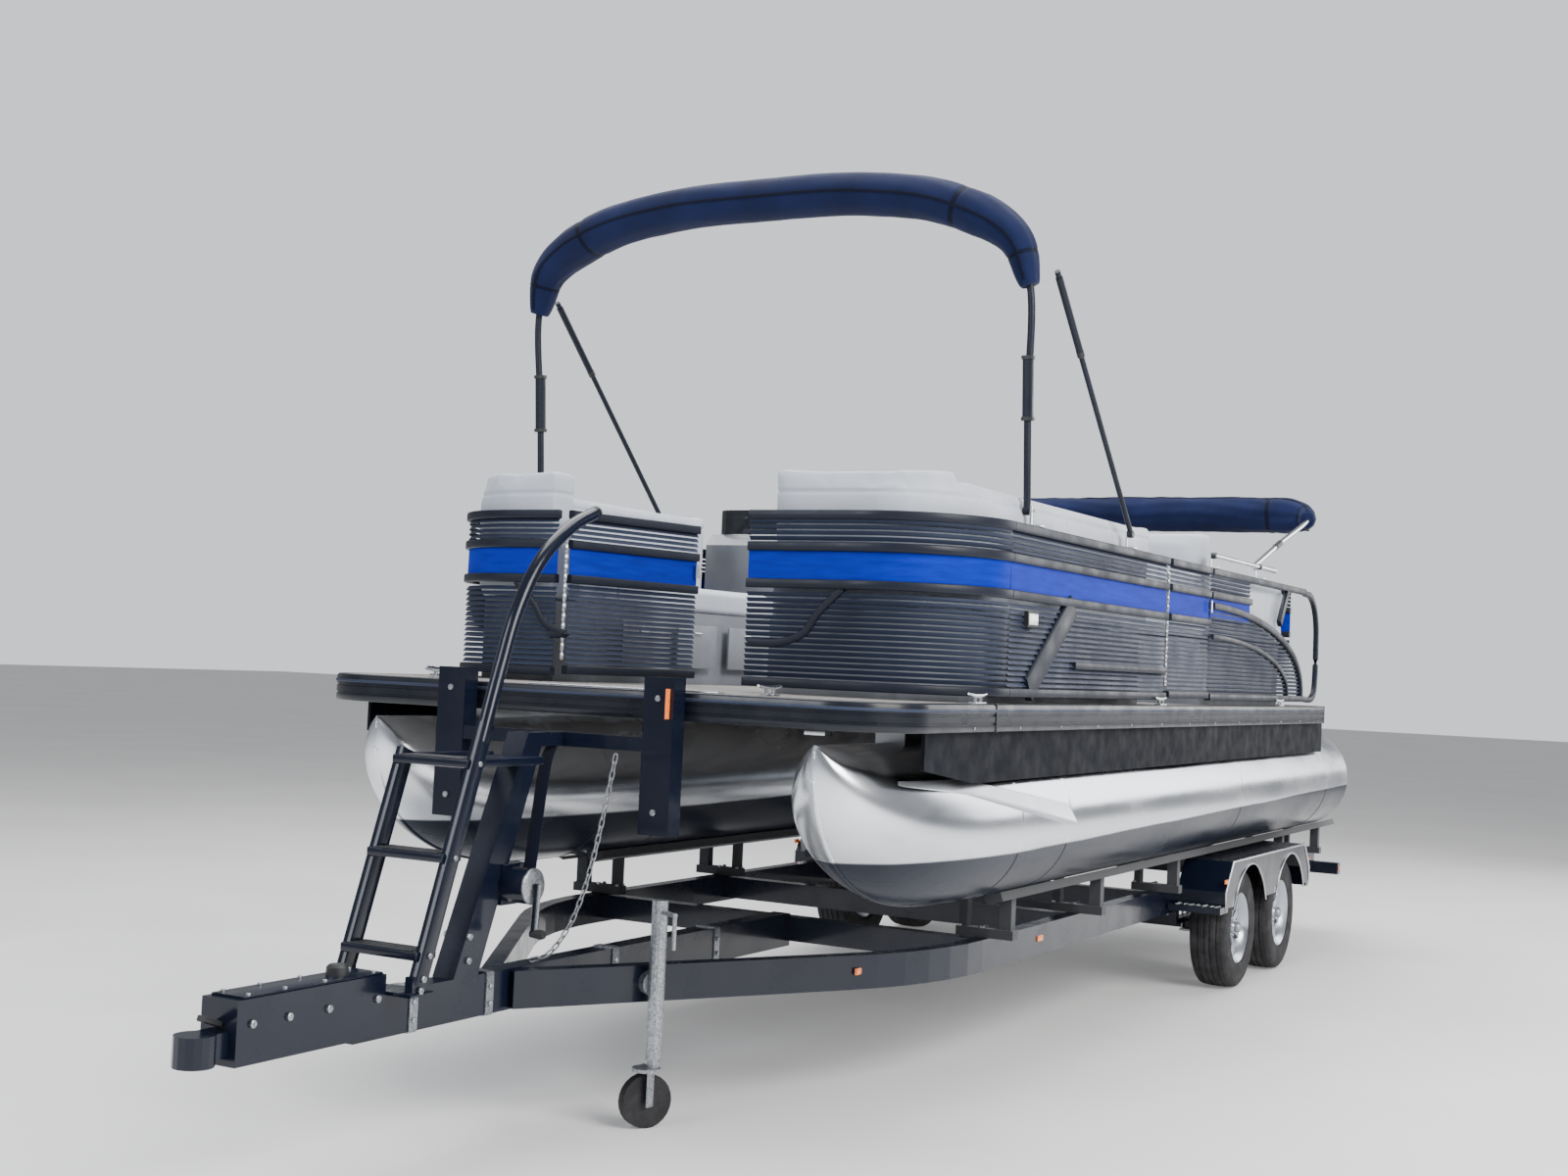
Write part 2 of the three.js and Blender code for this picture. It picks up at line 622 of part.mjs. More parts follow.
// The fence across the stern, with a sill under its gate.
const sternEnd = FENCE_Y - half - GAP;
const sternRuns = [[-sternEnd, STERN_GATE_STARBOARD], [STERN_GATE_PORT, sternEnd]];
add('stern_fence', join(
  sternRuns.map(([from, to]) => fencePanel(
    [[STERN_FENCE_X, from + half], [STERN_FENCE_X, to - half]],
    [[STERN_FENCE_X, from + half], [STERN_FENCE_X, to - half]],
  )),
  box(STERN_FENCE_X - half, STERN_FENCE_X + half,
    STERN_GATE_STARBOARD - (half - FOOT_HALF), STERN_GATE_PORT + (half - FOOT_HALF),
    DECK_TOP + GAP, DECK_TOP + 16),
), fencePaint);

// ---------- gates ----------
// A gate is built closed and then turned about its hinge line by its rest angle.
function gate(name, hinge, direction, width, restDeg) {
  const from = [direction[0] * RUN, direction[1] * RUN];
  const to = [direction[0] * width, direction[1] * width];
  const inset = (p, sign) => [p[0] + sign * direction[0] * half, p[1] + sign * direction[1] * half];
  const ends = [inset(from, 1), inset(to, -1)];
  const rails = RAIL_LEVELS.map((z) =>
    strip(ends, FENCE_RAIL, z - FENCE_RAIL_HEIGHT / 2, z + FENCE_RAIL_HEIGHT / 2));
  const uprights = ends.map(([x, y]) =>
    box(x - half, x + half, y - half, y + half, FENCE_BOTTOM, FENCE_TOP));
  const infill = strip(ends, FENCE_INFILL, FENCE_BOTTOM + 5, FENCE_TOP - 5);
  const mesh = add(name, join(rails, uprights, infill), fencePaint);
  mesh.position.set(hinge[0], hinge[1], 0);
  mesh.rotation.z = rad(restDeg);
}
const BOW_HINGE_Y = BOW_GATE_STARBOARD + 26;
gate('bow_gate', [BOW_FENCE_X, BOW_HINGE_Y], [0, 1],
  BOW_GATE_PORT - BOW_HINGE_Y - RUN, BOW_GATE_OPEN_DEG);
gate('side_gate', [SIDE_GATE_FRONT - 26, FENCE_Y], [-1, 0],
  SIDE_GATE_FRONT - 26 - SIDE_GATE_AFT - RUN, 0);
gate('stern_gate', [STERN_FENCE_X, STERN_GATE_STARBOARD + 26], [0, 1],
  STERN_GATE_PORT - STERN_GATE_STARBOARD - 26 - RUN, 0);

// ---------- seats ----------
const SEAT_BOTTOM = SEAT_TOP - SEAT_THICK;
const BASE_TOP = SEAT_BOTTOM - GAP;
const seatInnerY = SEAT_OUTER_Y - BACK_THICK - SEAT_DEPTH;

// A bow lounge: a base, a seat, and a back that runs along the side and round the bow corner.
function lounge(side, aft, frontInnerY) {
  const place = (geometry) => (SIDES[side] > 0 ? geometry : mirrorY(geometry));
  const front = LOUNGE_FRONT;
  const outer = SEAT_OUTER_Y;
  const round = (inset) => arc(front - 330, outer - 330, 330 - inset, 0, 90, 5);
  const base = plan([
    [front - 60, frontInnerY + 20],
    ...round(60),
    [aft, outer - 60],
    [aft, seatInnerY + 40],
    [front - 400, seatInnerY + 40],
    [front - 250, frontInnerY + 20],
  ], DECK_TOP + GAP, BASE_TOP);
  add(`${side}_lounge_base`, place(base), seatBase);
  const inner = BACK_INSET + BACK_THICK + RUN + SEAT_ROUND;
  const seat = padded([
    [front - inner, frontInnerY + SEAT_ROUND],
    ...arc(front - BACK_CORNER, outer - BACK_CORNER, BACK_CORNER - inner, 0, 90, 3),
    [aft + SEAT_ROUND, outer - inner],
    [aft + SEAT_ROUND, seatInnerY + SEAT_ROUND],
    [front - 430, seatInnerY + SEAT_ROUND],
    [front - 330, frontInnerY + SEAT_ROUND],
  ], SEAT_BOTTOM, SEAT_TOP, SEAT_ROUND);
  add(`${side}_lounge_seat`, place(seat), seatVinyl);
  const centre = BACK_INSET + BACK_THICK / 2;
  const path = [
    [front - centre, frontInnerY + BACK_ROUND],
    ...arc(front - BACK_CORNER, outer - BACK_CORNER, BACK_CORNER - centre, 0, 90, 5),
    [aft + BACK_ROUND, outer - centre],
  ];
  const core = BACK_THICK - 2 * BACK_ROUND;
  const back = padded(ribbon(path, core), SEAT_BOTTOM, BACK_TOP, BACK_ROUND);
  const bowRoll = padded(ribbon(path.slice(0, 5), core), BACK_TOP - 200, BOW_BACK_TOP, BACK_ROUND);
  add(`${side}_lounge_back`, place(join(back, bowRoll)), seatVinyl);
}
lounge('port', PORT_LOUNGE_AFT, BOW_GATE_PORT + 70);
lounge('starboard', STARBOARD_LOUNGE_AFT, -BOW_GATE_STARBOARD + 70);

// The aft lounge: across the stern and forward along the port side, with a back at the stern
// and another at its forward end.
const aftSeatFront = AFT_LOUNGE_AFT + BACK_THICK + SEAT_DEPTH;
function elbow(inset, end) {
  return [
    [AFT_LOUNGE_AFT + end, AFT_LOUNGE_END_Y + inset],
    [aftSeatFront - inset, AFT_LOUNGE_END_Y + inset],
    [aftSeatFront - inset, seatInnerY + inset],
    [AFT_LOUNGE_FRONT - end, seatInnerY + inset],
    [AFT_LOUNGE_FRONT - end, SEAT_OUTER_Y - end],
    [AFT_LOUNGE_AFT + end, SEAT_OUTER_Y - end],
  ];
}
const seatEdge = BACK_THICK + RUN + SEAT_ROUND;
add('aft_lounge_base', plan(elbow(40, 20), DECK_TOP + GAP, BASE_TOP), seatBase);
add('aft_lounge_seat', padded(elbow(SEAT_ROUND, seatEdge), SEAT_BOTTOM, SEAT_TOP, SEAT_ROUND),
  seatVinyl);
const aftBackX = AFT_LOUNGE_AFT + BACK_THICK / 2;
const endBackX = AFT_LOUNGE_FRONT - BACK_THICK / 2;
const sideBackY = SEAT_OUTER_Y - BACK_THICK / 2;
const backCore = BACK_THICK - 2 * BACK_ROUND;
add('aft_lounge_back', join(
  padded(ribbon([
    [aftBackX, AFT_LOUNGE_END_Y + BACK_ROUND],
    [aftBackX, sideBackY],
    [endBackX, sideBackY],
    [endBackX, seatInnerY + BACK_ROUND],
  ], backCore), SEAT_BOTTOM, AFT_SIDE_TOP, BACK_ROUND),
  cushion(endBackX - BACK_THICK / 2, endBackX + BACK_THICK / 2, seatInnerY, SEAT_OUTER_Y,
    BACK_TOP - 200, AFT_BACK_TOP, BACK_ROUND),
), seatVinyl);

// ---------- helm ----------
const consoleOuter = -SEAT_OUTER_Y + 10;
const consoleInner = consoleOuter + CONSOLE_WIDTH;
const consoleFront = CONSOLE_AFT + CONSOLE_LENGTH;
// The steering column leaves the sloped dash at its middle and leans back over the helm.
const dash = [CONSOLE_AFT + DASH_RUN / 2, (consoleInner + consoleOuter) / 2, CONSOLE_TOP - DASH_RUN / 2];
const columnLean = rad(COLUMN_LEAN_DEG);
const alongColumn = (d) => [
  dash[0] - d * Math.sin(columnLean), dash[1], dash[2] + d * Math.cos(columnLean)];
add('helm_console', join(
  profile([
    [CONSOLE_AFT + 120, DECK_TOP + GAP],
    [consoleFront, DECK_TOP + GAP],
    [consoleFront, CONSOLE_TOP - 60],
    [consoleFront - 60, CONSOLE_TOP],
    [CONSOLE_AFT + DASH_RUN, CONSOLE_TOP],
    [CONSOLE_AFT, CONSOLE_TOP - DASH_RUN],
    [CONSOLE_AFT, CONSOLE_TOP - DASH_RUN - 130],
    [CONSOLE_AFT + 120, CONSOLE_TOP - DASH_RUN - 230],
  ], consoleOuter, consoleInner),
  rod(alongColumn(-30), alongColumn(COLUMN_LENGTH - HELM_HUB_DEPTH / 2 - 1.5), 30, 14),
), blackPlastic);

// The windscreen stands on the console top along a bowed line.
const screenPath = [
  [consoleFront - 240, consoleInner - 20],
  ...arc(consoleFront - 150, consoleInner - 130, 110, 90, 0, 4),
  ...arc(consoleFront - 150, consoleOuter + 130, 110, 0, -90, 4),
  [consoleFront - 240, consoleOuter + 20],
];
add('windscreen', strip(screenPath, 6, CONSOLE_TOP + GAP, WINDSCREEN_TOP), smokedGlass);

function helmWheel() {
  const rim = new THREE.TorusGeometry(HELM_WHEEL_RADIUS, 15, 8, 24);
  const hub = new THREE.CylinderGeometry(42, 42, HELM_HUB_DEPTH, 12).rotateX(Math.PI / 2);
  const spokes = [90, 210, 330].map((deg) =>
    box(0, HELM_WHEEL_RADIUS, -11, 11, -6, 6).rotateZ(rad(deg)));
  return join(rim, hub, spokes);
}
const helmMesh = add('steering_wheel', helmWheel(), blackPlastic);
helmMesh.position.set(...alongColumn(COLUMN_LENGTH));
helmMesh.rotation.y = -columnLean;

add('helm_seat_pedestal', join(
  rod([HELM_SEAT_X, HELM_SEAT_Y, DECK_TOP + GAP], [HELM_SEAT_X, HELM_SEAT_Y, DECK_TOP + 18], 170, 20),
  rod([HELM_SEAT_X, HELM_SEAT_Y, DECK_TOP + 10], [HELM_SEAT_X, HELM_SEAT_Y, SEAT_BOTTOM - 30], 38, 16),
), brushedTube);
const seatSides = [HELM_SEAT_Y - HELM_SEAT_HALF, HELM_SEAT_Y + HELM_SEAT_HALF];
add('helm_seat', join(
  cushion(HELM_SEAT_X - 230, HELM_SEAT_X + 265, ...seatSides, SEAT_BOTTOM - 24, SEAT_TOP + 20, 30),
  cushion(HELM_SEAT_X - 265, HELM_SEAT_X - 125, ...seatSides, SEAT_BOTTOM + 10, BACK_TOP + 20, 30),
  seatSides.map((y) => {
    const [y0, y1] = y < HELM_SEAT_Y ? [y, y + 80] : [y - 80, y];
    return cushion(HELM_SEAT_X - 180, HELM_SEAT_X + 180, y0, y1, SEAT_TOP - 40, SEAT_TOP + 190, 24);
  }),
), seatVinyl);

// ---------- bimini tops ----------
// Half of a bow in its own plane, as (across, along the leg): leg, rounded shoulder and crown.
function halfBow(leg, crown) {
  const rise = crown - leg;
  return [
    [BIMINI_Y, 0],
    [BIMINI_Y, leg * 0.5],
    [BIMINI_Y + 6, leg],
    [BIMINI_Y - 0.14 * rise, leg + 0.44 * rise],
    [BIMINI_Y - 0.77 * rise, leg + 0.8 * rise],
    [BIMINI_Y * 0.4, crown - 0.03 * rise],
    [0, crown],
  ];
}

function bimini(end, footX, angleDeg, leg, crown, material) {
  const dir = [Math.cos(rad(angleDeg)), Math.sin(rad(angleDeg))];
  const side = halfBow(leg, crown);
  const whole = [...side, ...side.slice(0, -1).reverse().map(([across, t]) => [-across, t])];
  const place = ([across, t]) => [footX + dir[0] * t, across, BIMINI_FOOT_Z + dir[1] * t];
  const booted = whole.filter(([, t]) => t >= leg).map(place);
  const eyes = [-1, 1].map((s) => rod([footX, s * (BIMINI_Y - BIMINI_LEG), BIMINI_FOOT_Z],
    [footX, s * (BIMINI_Y + BIMINI_LEG), BIMINI_FOOT_Z], BIMINI_EYE, 12));
  add(`${end}_bimini_frame`, join(pipe(whole.map(place), BIMINI_LEG, 36, 8), eyes), material);
  add(`${end}_bimini_boot`, cut(
    pipe(booted, BOOT_RADIUS, 24, 12),
    pipe(whole.map(place), BIMINI_LEG + 2, 36, 8),
  ), navyCanvas);
}
bimini('front', FRONT_BOW_X, 90 - FRONT_BOW_LEAN_DEG, FRONT_LEG_LENGTH, FRONT_CROWN, fencePaint);
bimini('rear', REAR_BOW_X, 180 - REAR_BOW_RISE_DEG, REAR_LEG_LENGTH, REAR_CROWN, brushedTube);

// Braces: one on each side of each bimini, in a plane outboard of the bow's legs.
function brace(name, side, footX, length, angleDeg, material) {
  const y = SIDES[side] * BRACE_Y;
  const run = [length * Math.cos(rad(angleDeg)), length * Math.sin(rad(angleDeg))];
  const at = (k) => [footX + run[0] * k, y, BIMINI_FOOT_Z + run[1] * k];
  add(name, join(
    rod(at(0), at(1), BRACE_RADIUS, 10),
    rod(at(0.72), at(0.98), BRACE_RADIUS + 4, 10),
    rod([footX, y - BRACE_RADIUS, BIMINI_FOOT_Z], [footX, y + BRACE_RADIUS, BIMINI_FOOT_Z], 17, 12),
  ), material);
}
for (const side of ['port', 'starboard']) {
  brace(`front_brace_${side}`, side, FRONT_BRACE_X, FRONT_BRACE_LENGTH, FRONT_BRACE_DEG, fencePaint);
  brace(`rear_brace_${side}`, side, REAR_BRACE_X, REAR_BRACE_LENGTH, 180, brushedTube);
}

// ---------- outboard motor ----------
const CLAMP_HALF = 120;
const CLAMP_PLATE = 20;
const CLAMP_EAR = 28;
const TILT_TUBE = 26;
const earInner = CLAMP_HALF - CLAMP_EAR;
const clampAft = TRANSOM_X - CLAMP_PLATE;
add('outboard_clamp', join(
  box(clampAft, TRANSOM_X - GAP, -CLAMP_HALF, CLAMP_HALF, TRANSOM_TOP - 330, TRANSOM_TOP + 14),
  box(clampAft, TRANSOM_X + 60, -CLAMP_HALF, CLAMP_HALF, TRANSOM_TOP + GAP, TRANSOM_TOP + 14),
  [-CLAMP_HALF, earInner].map((y) => profile([
    [TILT_X - 34, TILT_Z - 34], [clampAft + 1, TRANSOM_TOP - 60],
    [clampAft + 1, TRANSOM_TOP + GAP + 1], [TRANSOM_X + 50, TRANSOM_TOP + GAP + 1],
    [TILT_X + 34, TILT_Z + 32], [TILT_X - 34, TILT_Z + 32],
  ], y, y + CLAMP_EAR)),
), motorPaint);

const SWIVEL_DROP = 330;
const SWIVEL_RADIUS = 36;
const swivelHalf = earInner - 2;
add('outboard_swivel', join(
  rod([TILT_X, -swivelHalf, TILT_Z], [TILT_X, swivelHalf, TILT_Z], TILT_TUBE, 16),
  box(STEER_X, TILT_X, -30, 30, TILT_Z - SWIVEL_DROP, TILT_Z + 6),
  rod([STEER_X, 0, TILT_Z - SWIVEL_DROP], [STEER_X, 0, TILT_Z + 6], SWIVEL_RADIUS, 16),
), motorPaint);

// One level ring of the motor: a rounded box reaching `back` and `front` of the steering axis.
function motorRing(z, back, front, halfWidth, corner) {
  return roundedRectangle(STEER_X - back, STEER_X + front, -halfWidth, halfWidth, corner)
    .map(([x, y]) => [x, y, z]);
}
const LEG_TOP = TILT_Z + 70;
const LEG_CLEAR = -(SWIVEL_RADIUS + RUN + 2);
add('outboard_cowl', loft([
  motorRing(LEG_TOP + 30, 540, 90, 190, 110),
  motorRing(LEG_TOP + 130, 600, 120, 225, 130),
  motorRing(LEG_TOP + 330, 610, 125, 232, 130),
  motorRing(LEG_TOP + 460, 560, 100, 205, 130),
  motorRing(LEG_TOP + 540, 460, 40, 150, 110),
  motorRing(LEG_TOP + 562, 370, -50, 90, 70),
]), motorPaint);
const CAVITATION_Z = PROPELLER_Z + 200;
add('outboard_leg', join(
  loft([
    motorRing(LEG_TOP + 30 - GAP, 490, 70, 170, 100),
    motorRing(LEG_TOP - 12, 430, 30, 140, 90),
    motorRing(LEG_TOP - 14, 330, LEG_CLEAR, 110, 50),
    motorRing(TILT_Z - SWIVEL_DROP, 290, LEG_CLEAR, 75, 40),
    motorRing(CAVITATION_Z + 30, 270, LEG_CLEAR - 20, 52, 30),
    motorRing(PROPELLER_Z + 30, 230, LEG_CLEAR, 30, 20),
  ]),
  box(STEER_X - 530, STEER_X - 60, -110, 110, CAVITATION_Z, CAVITATION_Z + 12),
  new THREE.CylinderGeometry(52, 58, 360, 14).rotateZ(Math.PI / 2)
    .translate(STEER_X - 190, 0, PROPELLER_Z),
  new THREE.SphereGeometry(55, 14, 10).translate(STEER_X - 12, 0, PROPELLER_Z),
  profile([
    [STEER_X - 170, PROPELLER_Z], [STEER_X - 330, PROPELLER_Z - 190],
    [STEER_X - 250, PROPELLER_Z - 190], [STEER_X - 30, PROPELLER_Z - 40],
  ], -6, 6),
), motorPaint);

const PROPELLER_X = STEER_X - 370 - RUN - 46;
function propeller() {
  const hub = new THREE.CylinderGeometry(42, 52, 92, 16).rotateZ(-Math.PI / 2);
  const blades = [0, 120, 240].map((deg) => {
    const blade = outline([
      [-34, 30], [-66, 90], [-60, 140], [-20, PROPELLER_RADIUS - 4],
      [34, PROPELLER_RADIUS - 26], [52, 110], [34, 30],
    ]);
    return new THREE.ExtrudeGeometry(blade, { depth: 8, bevelEnabled: false })
      .translate(0, 0, -4)
      .rotateX(Math.PI / 2)
      .rotateZ(rad(58))
      .rotateX(rad(deg));
  });
  return join(hub, blades);
}
const propellerMesh = add('propeller', propeller(), zincSteel);
propellerMesh.position.set(PROPELLER_X, 0, PROPELLER_Z);

// ---------- trailer frame ----------
const turn = rad(RAIL_TURN_DEG);
const meet = [RAIL_MEET_X, TONGUE_WIDTH / 2];
const bendFrom = meet[0] - (RAIL_Y - meet[1]) / Math.tan(turn)
  - RAIL_BEND_RADIUS * Math.tan(turn / 2);
const railPath = [
  [LIGHT_BAR_X + 20, RAIL_Y],
  ...arc(bendFrom, RAIL_Y - RAIL_BEND_RADIUS, RAIL_BEND_RADIUS, 90, 90 - RAIL_TURN_DEG, 6),
  meet,
];
const lastCross = TUBE_NOSE_START - 320;
const crossXs = [-880, 60, 2250, lastCross - 1110, lastCross];
const crossHalf = RAIL_Y - RAIL_WIDTH / 2 + 2;
const rail = strip(railPath, RAIL_WIDTH, FRAME_BOTTOM, FRAME_TOP);
add('trailer_frame', join(
  rail,
  mirrorY(rail),
  crossXs.map((x) => box(x - 38, x + 38, -crossHalf, crossHalf, FRAME_BOTTOM + 20, FRAME_TOP - 6)),
  box(crossXs.at(-1), TONGUE_FRONT, -TONGUE_WIDTH / 2, TONGUE_WIDTH / 2, TONGUE_BOTTOM, TONGUE_TOP),
  box(LIGHT_BAR_X - 25, LIGHT_BAR_X + 45, -LIGHT_BAR_HALF, LIGHT_BAR_HALF,
    FRAME_BOTTOM - 25, FRAME_BOTTOM + 50),
), trailerPaint);

// Bunks: two carpeted boards under each tube, tipped to lie against it, on cradles.
const bunkLean = Math.asin(BUNK_OFFSET / TUBE_RADIUS);
const bunkStations = [-900, ...crossXs.slice(1)];
function bunkBoard(sign) {
  const contact = [
    TUBE_Y + sign * Math.sin(bunkLean) * (TUBE_RADIUS + GAP),
    TUBE_Z - Math.cos(bunkLean) * (TUBE_RADIUS + GAP),
  ];
  const across = [Math.cos(bunkLean), sign * Math.sin(bunkLean)];
  const down = [sign * Math.sin(bunkLean), -Math.cos(bunkLean)];
  const corner = (a, d) => [
    contact[0] + across[0] * a + down[0] * d,
    contact[1] + across[1] * a + down[1] * d,
  ];
  const w = BUNK_WIDTH / 2;
  const lift = 2.5; // the flat board stays clear of the round tube's facets
  const section = outline([
    corner(-w, lift), corner(w, lift), corner(w, BUNK_THICK), corner(-w, BUNK_THICK),
  ]);
  const length = TUBE_NOSE_START - 120 - LIGHT_BAR_X;
  return new THREE.ExtrudeGeometry(section, { depth: length, bevelEnabled: false })
    .applyMatrix4(new THREE.Matrix4().makeBasis(
      new THREE.Vector3(0, 1, 0), new THREE.Vector3(0, 0, 1), new THREE.Vector3(1, 0, 0)))
    .translate(LIGHT_BAR_X, 0, 0);
}
const bunkUnderside = TUBE_Z - TUBE_RADIUS - BUNK_THICK + 24;
const cradles = bunkStations.map((x) => {
  const nearWheels = x > FRONT_AXLE_X - AXLE_SPREAD - WHEEL_RADIUS - 120
    && x < FRONT_AXLE_X + WHEEL_RADIUS + 120;
  const outerY = nearWheels ? RAIL_Y + RAIL_WIDTH / 2 : TUBE_Y + BUNK_OFFSET + 30;
  return [
    box(x - 30, x + 30, TUBE_Y - BUNK_OFFSET - 30, outerY, FRAME_TOP + GAP, FRAME_TOP + 40),
    box(x - 24, x + 24, TUBE_Y - BUNK_OFFSET - 18, TUBE_Y - BUNK_OFFSET + 18,
      FRAME_TOP + 20, bunkUnderside),
    box(x - 24, x + 24,
      Math.min(TUBE_Y + BUNK_OFFSET, outerY) - 36, Math.min(TUBE_Y + BUNK_OFFSET + 18, outerY),
      FRAME_TOP + 20, bunkUnderside),
  ];
});
const bunks = join(bunkBoard(-1), bunkBoard(1), cradles);
add('trailer_bunks_port', bunks, bunkCarpet);
add('trailer_bunks_starboard', mirrorY(bunks), bunkCarpet);

// ---------- axles, wheels and fenders ----------
const axleXs = [FRONT_AXLE_X, FRONT_AXLE_X - AXLE_SPREAD];
const SPINDLE_END = TRACK_HALF + 20;
const BEAM = 56;
const springs = [-1, 1].flatMap((s) => {
  const y = s * (RAIL_Y - 6);
  const bottom = WHEEL_RADIUS + BEAM / 2 - 4;
  const links = [axleXs[1] - 320, (axleXs[0] + axleXs[1]) / 2, axleXs[0] + 320];
  return [
    box(links[0] - 20, links[2] + 20, y - 24, y + 24, bottom, bottom + 30),
    ...links.map((x) => box(x - 26, x + 26, y - 22, y + 22, bottom + 4, FRAME_BOTTOM - GAP)),
  ];
});
add('trailer_axles', join(
  axleXs.map((x) => [
    box(x - BEAM / 2, x + BEAM / 2, -TRACK_HALF + 130, TRACK_HALF - 130,
      WHEEL_RADIUS - BEAM / 2, WHEEL_RADIUS + BEAM / 2),
    rod([x, -SPINDLE_END, WHEEL_RADIUS], [x, SPINDLE_END, WHEEL_RADIUS], 22, 12),
    [-1, 1].map((s) => rod([x, s * (TRACK_HALF - 95), WHEEL_RADIUS],
      [x, s * (TRACK_HALF - 30), WHEEL_RADIUS], 125, 16)),
  ]),
  springs,
), trailerPaint);

// A wheel's section, (radius, distance outboard of its middle), from the hub cap round the
// rim and tyre and back to the hub's inside.
const WELL_RADIUS = 158;
const RIM_RADIUS = 190;
const DISC_AT = 34;
const w2 = TYRE_WIDTH / 2;
const wheelSection = [
  [0, 74], [34, 74], [40, DISC_AT + 12], [WELL_RADIUS, DISC_AT + 12],
  [WELL_RADIUS + 14, w2 - 26], [RIM_RADIUS, w2 - 14], [RIM_RADIUS + 14, w2 - 2],
  [RIM_RADIUS + 70, w2], [WHEEL_RADIUS - 22, w2 - 6], [WHEEL_RADIUS - 3, w2 - 26],
  [WHEEL_RADIUS, 0],
  [WHEEL_RADIUS - 3, -w2 + 26], [WHEEL_RADIUS - 22, -w2 + 6], [RIM_RADIUS + 70, -w2],
  [RIM_RADIUS + 14, -w2 + 2], [RIM_RADIUS, -w2 + 14], [WELL_RADIUS - 4, -w2 + 26],
  [WELL_RADIUS - 12, DISC_AT], [0, DISC_AT],
];
function trailerWheel() {
  const points = wheelSection.map(([r, y]) => new THREE.Vector2(r, y));
  return new THREE.LatheGeometry(points, 26);
}
for (const [side, sign] of Object.entries(SIDES)) {
  ['front', 'rear'].forEach((end, i) => {
    const mesh = add(`${end}_wheel_${side}`, sign > 0 ? trailerWheel() : mirrorY(trailerWheel()),
      tyreRubber);
    mesh.position.set(axleXs[i], sign * TRACK_HALF, WHEEL_RADIUS);
  });
}

// One fender over both wheels: a rolled top, ends that slope down, and an outer face cut
// round each tyre.
function fender() {
  const x0 = axleXs[1] - WHEEL_RADIUS - 130;
  const x1 = axleXs[0] + WHEEL_RADIUS + 170;
  const lip = 455;
  const skin = (d) => [
    [x0 + d, lip],
    [x0 + d, lip + 110],
    [x0 + 130 + d * 0.4, FENDER_TOP - d],
    [x1 - 130 - d * 0.4, FENDER_TOP - d],
    [x1 - d, lip + 110],
    [x1 - d, lip],
  ];
  const inner = TRACK_HALF - TYRE_WIDTH / 2 - 12;
  const outer = DECK_HALF_BEAM - 12;
  const shell = profile([...skin(0), ...skin(FENDER_WALL).reverse()], inner, outer);
  const face = cut(
    profile(skin(0), outer - FENDER_WALL, outer),
    axleXs.map((x) => new THREE.CylinderGeometry(WHEEL_RADIUS + 26, WHEEL_RADIUS + 26, 60, 36)
      .translate(x, outer, WHEEL_RADIUS)),
    box(x0 + 60, x1 - 60, outer - 30, outer + 30, lip - 40, WHEEL_RADIUS + 150),
  );
  const brackets = [x0 + 20, (axleXs[0] + axleXs[1]) / 2, x1 - 20].map((x) =>
    box(x - 18, x + 18, RAIL_Y + RAIL_WIDTH / 2 + GAP, inner + 3, 500, 540));
  const risers = [x0 + 20, (axleXs[0] + axleXs[1]) / 2, x1 - 20].map((x, i) =>
    box(x - 18, x + 18, inner - 5, inner + 1, 500, i === 1 ? FENDER_TOP - 2 : lip + 120));
  const step = box(x1 - 10, x1 + 90, RAIL_Y + RAIL_WIDTH / 2 + 8, outer, lip, lip + 34);
  return join(shell, face, brackets, risers, step);
}
add('fender_port', fender(), trailerPaint);
add('fender_starboard', mirrorY(fender()), trailerPaint);

// ---------- tongue ----------
const couplerBottom = FRAME_BOTTOM + 12;
add('coupler', join(
  cut(
    box(TONGUE_FRONT - 110, COUPLER_TIP - 150, -70, 70, couplerBottom, couplerBottom + 190),
    box(TONGUE_FRONT - 200, TONGUE_FRONT + GAP, -TONGUE_WIDTH / 2 - GAP, TONGUE_WIDTH / 2 + GAP,
      FRAME_BOTTOM - 40, TONGUE_TOP + GAP),
  ),
  box(COUPLER_TIP - 160, COUPLER_TIP - 60, -42, 42, couplerBottom + 30, couplerBottom + 100),
  cut(
    rod([COUPLER_TIP - 60, 0, couplerBottom + 10], [COUPLER_TIP - 60, 0, couplerBottom + 100], 60, 16),
    rod([COUPLER_TIP - 60, 0, couplerBottom - 10], [COUPLER_TIP - 60, 0, couplerBottom + 62], 28, 12),
  ),
), trailerPaint);

// The swivel jack stands beside the port rail where it slopes in to the tongue.
const railDir = [Math.cos(turn), -Math.sin(turn)];
const railOut = [Math.sin(turn), Math.cos(turn)];
const jackRail = [meet[0] - railDir[0] * JACK_ALONG, meet[1] - railDir[1] * JACK_ALONG];
const jackReach = RAIL_WIDTH / 2 + 62;
const jackAt = [jackRail[0] + railOut[0] * jackReach, jackRail[1] + railOut[1] * jackReach];
const JACK_LEAD = 26; // the wheel stands this far ahead of the leg
const jackWheelAt = [jackAt[0] + railDir[0] * JACK_LEAD, jackAt[1] + railDir[1] * JACK_LEAD];
const acrossJack = (centre, from, to, z, radius, sides) => rod(
  [centre[0] + railOut[0] * from, centre[1] + railOut[1] * from, z],
  [centre[0] + railOut[0] * to, centre[1] + railOut[1] * to, z], radius, sides);
const forkPlate = (s) => {
  const at = [jackWheelAt[0] + railOut[0] * s, jackWheelAt[1] + railOut[1] * s];
  return bar([at[0], at[1], JACK_WHEEL_RADIUS - 16], [at[0], at[1], JACK_WHEEL_RADIUS * 2 + 24], 5, 40)
    .clone();
};
